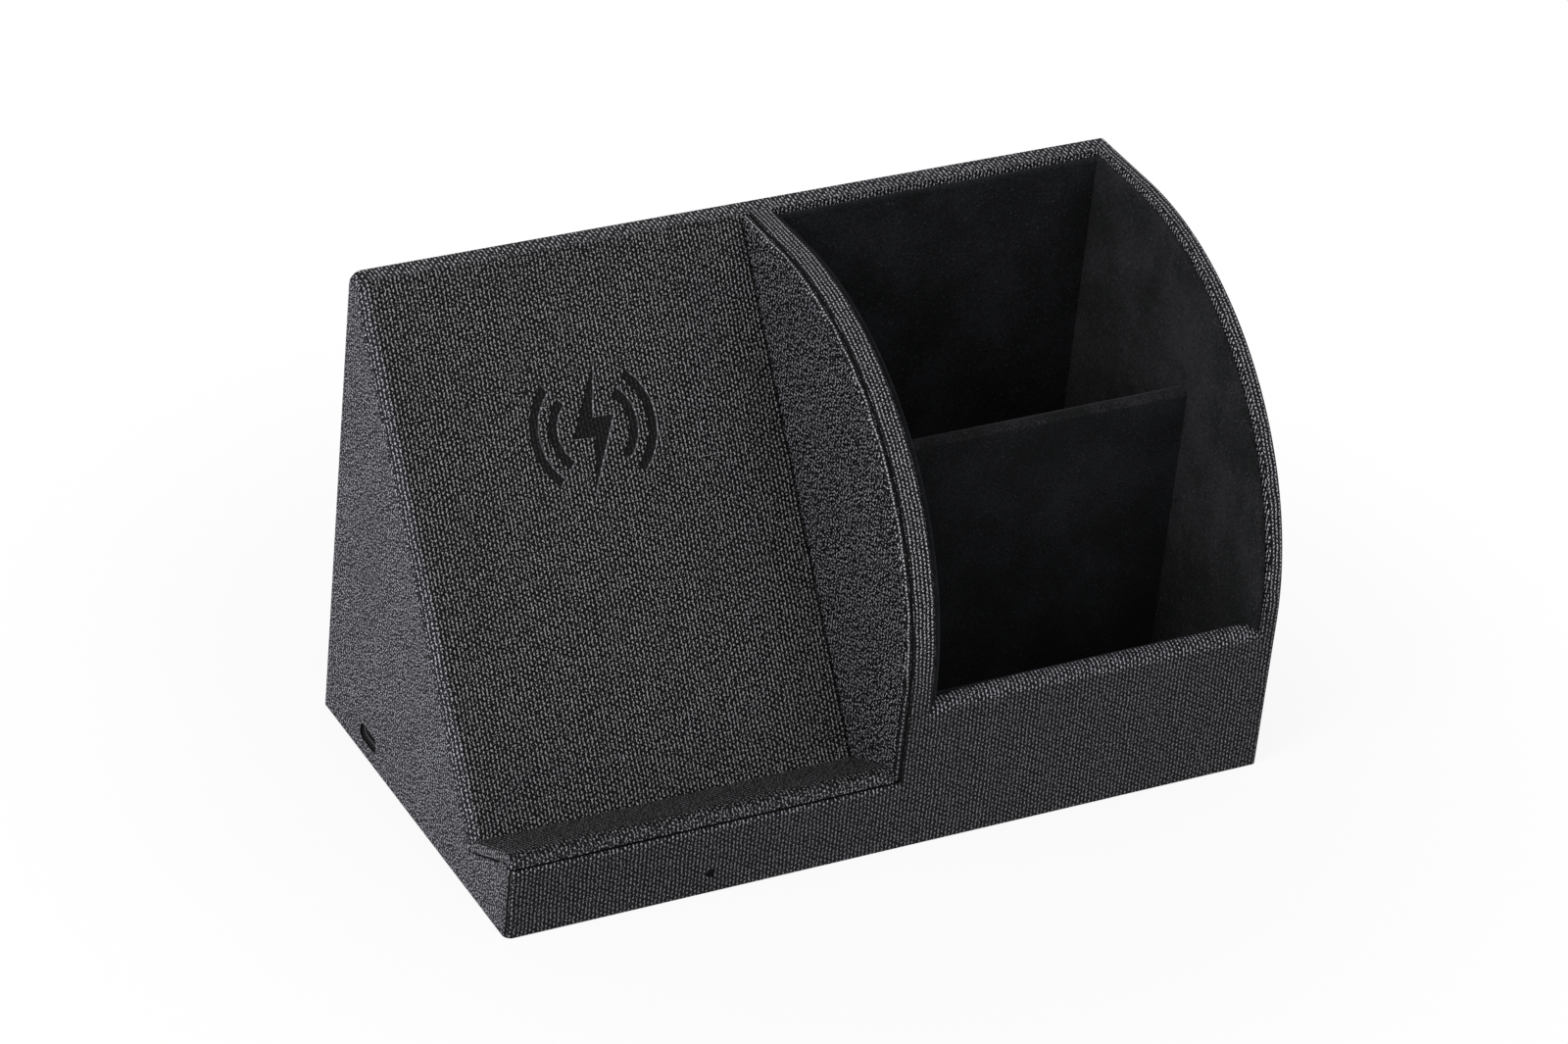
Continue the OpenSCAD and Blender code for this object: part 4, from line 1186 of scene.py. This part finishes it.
FINISH = {
    board: "base_board back_board side_board divider_board slope_batten cross_board",
    # The boards seen in the gaps are black: painted shade
    board_black_for_shade: "front_board end_board slope_board ledge_board panel_card",
    card: "front_liner_card back_liner_card left_liner_card "
          "right_liner_card floor_card",
    case_plastic: "module_case module_lid",
    dark_plastic: "socket_tongue charger_parts",
    smoked_plastic: "light_pipe",
    clear_plastic: "indicator_light",
    green_board: "charger_board inlet_board indicator_board",
    ferrite: "ferrite_sheet",
    foam: "foam_pad",
    screw_steel: "module_screws inlet_screws",
    red_wire: "power_leads",
    white_wire: "indicator_leads",
    coil_finish(): "charging_coil",
}
for finish, names in FINISH.items():
    for name in names.split():
        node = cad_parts[name]
        for slot in node.material_slots:
            slot.material = finish
        if not node.material_slots:
            node.data.materials.append(finish)

# Camera, at the photograph's view: its place in metres, then degrees
STAND = (-0.603896, -0.997640, 0.791754)
HEADING, DOWN, ROLL = -30.830, 32.137, 5.981
lens = bpy.data.cameras.new("photo_view")
lens.lens = 135.056
lens.sensor_width = 36
lens.sensor_fit = "HORIZONTAL"
lens.clip_start = 0.01
camera = bpy.data.objects.new("photo_view", lens)
bpy.context.scene.collection.objects.link(camera)
turn = Matrix.Rotation(math.radians(HEADING), 3, "Z") \
    @ Matrix.Rotation(math.radians(90 - DOWN), 3, "X") \
    @ Matrix.Rotation(math.radians(ROLL), 3, "Z")
camera.matrix_world = Matrix.Translation(STAND) @ turn.to_4x4()
bpy.context.scene.camera = camera

# Floor: pale, nearly white to the camera and in reflections, a trace darker near the object
put_down()
bpy.ops.mesh.primitive_plane_add(size=8, location=(0, 0, -0.0002))
floor = bpy.context.object
floor.name = "floor"
r = Recipe("pale floor")
x, y, _ = r.parts(r.place(1))
away = r.stepped((x * x + y * y) ** 0.5, 0.08, 0.24)
matt = r.add("ShaderNodeBsdfPrincipled", None, {
    "Base Color": (0.85, 0.85, 0.85, 1), "Roughness": 0.9})
glow = r.add("ShaderNodeEmission", None, {"Color": (1, 1, 1, 1), "Strength": 1.0})
share = r.seen() * (0.88 + 0.12 * away)
floor.data.materials.append(
    r.end(r.add("ShaderNodeMixShader", None, {0: share, 1: matt, 2: glow})))

# World: a soft grey dome for the light, white to the camera and in reflections
r = Recipe("soft dome", "World")
grey = r.add("ShaderNodeBackground", None, {"Color": (0.95, 0.955, 1.0, 1), "Strength": 0.42})
white = r.add("ShaderNodeBackground", None, {"Color": (1, 1, 1, 1), "Strength": 1.0})
bpy.context.scene.world = r.end(
    r.add("ShaderNodeMixShader", None, {0: r.seen(), 1: grey, 2: white}))


def lamp(name, place, target, size, power):
    """A round soft light, its size in metres and its power in watts."""
    light = bpy.data.lights.new(name, "AREA")
    light.shape = "DISK"
    light.size = size
    light.energy = power
    holder = bpy.data.objects.new(name, light)
    bpy.context.scene.collection.objects.link(holder)
    aim = Vector(target) - Vector(place)
    facing = aim.to_track_quat("-Z", "Y").to_matrix().to_4x4()
    holder.matrix_world = Matrix.Translation(place) @ facing


lamp("key", (-1.2, -0.35, 0.85), (0, 0, 0.05), 0.8, 14)
lamp("fill", (0.3, -1.3, 1.1), (0, 0, 0.05), 1.0, 6)

bpy.context.scene.view_settings.view_transform = "Standard"
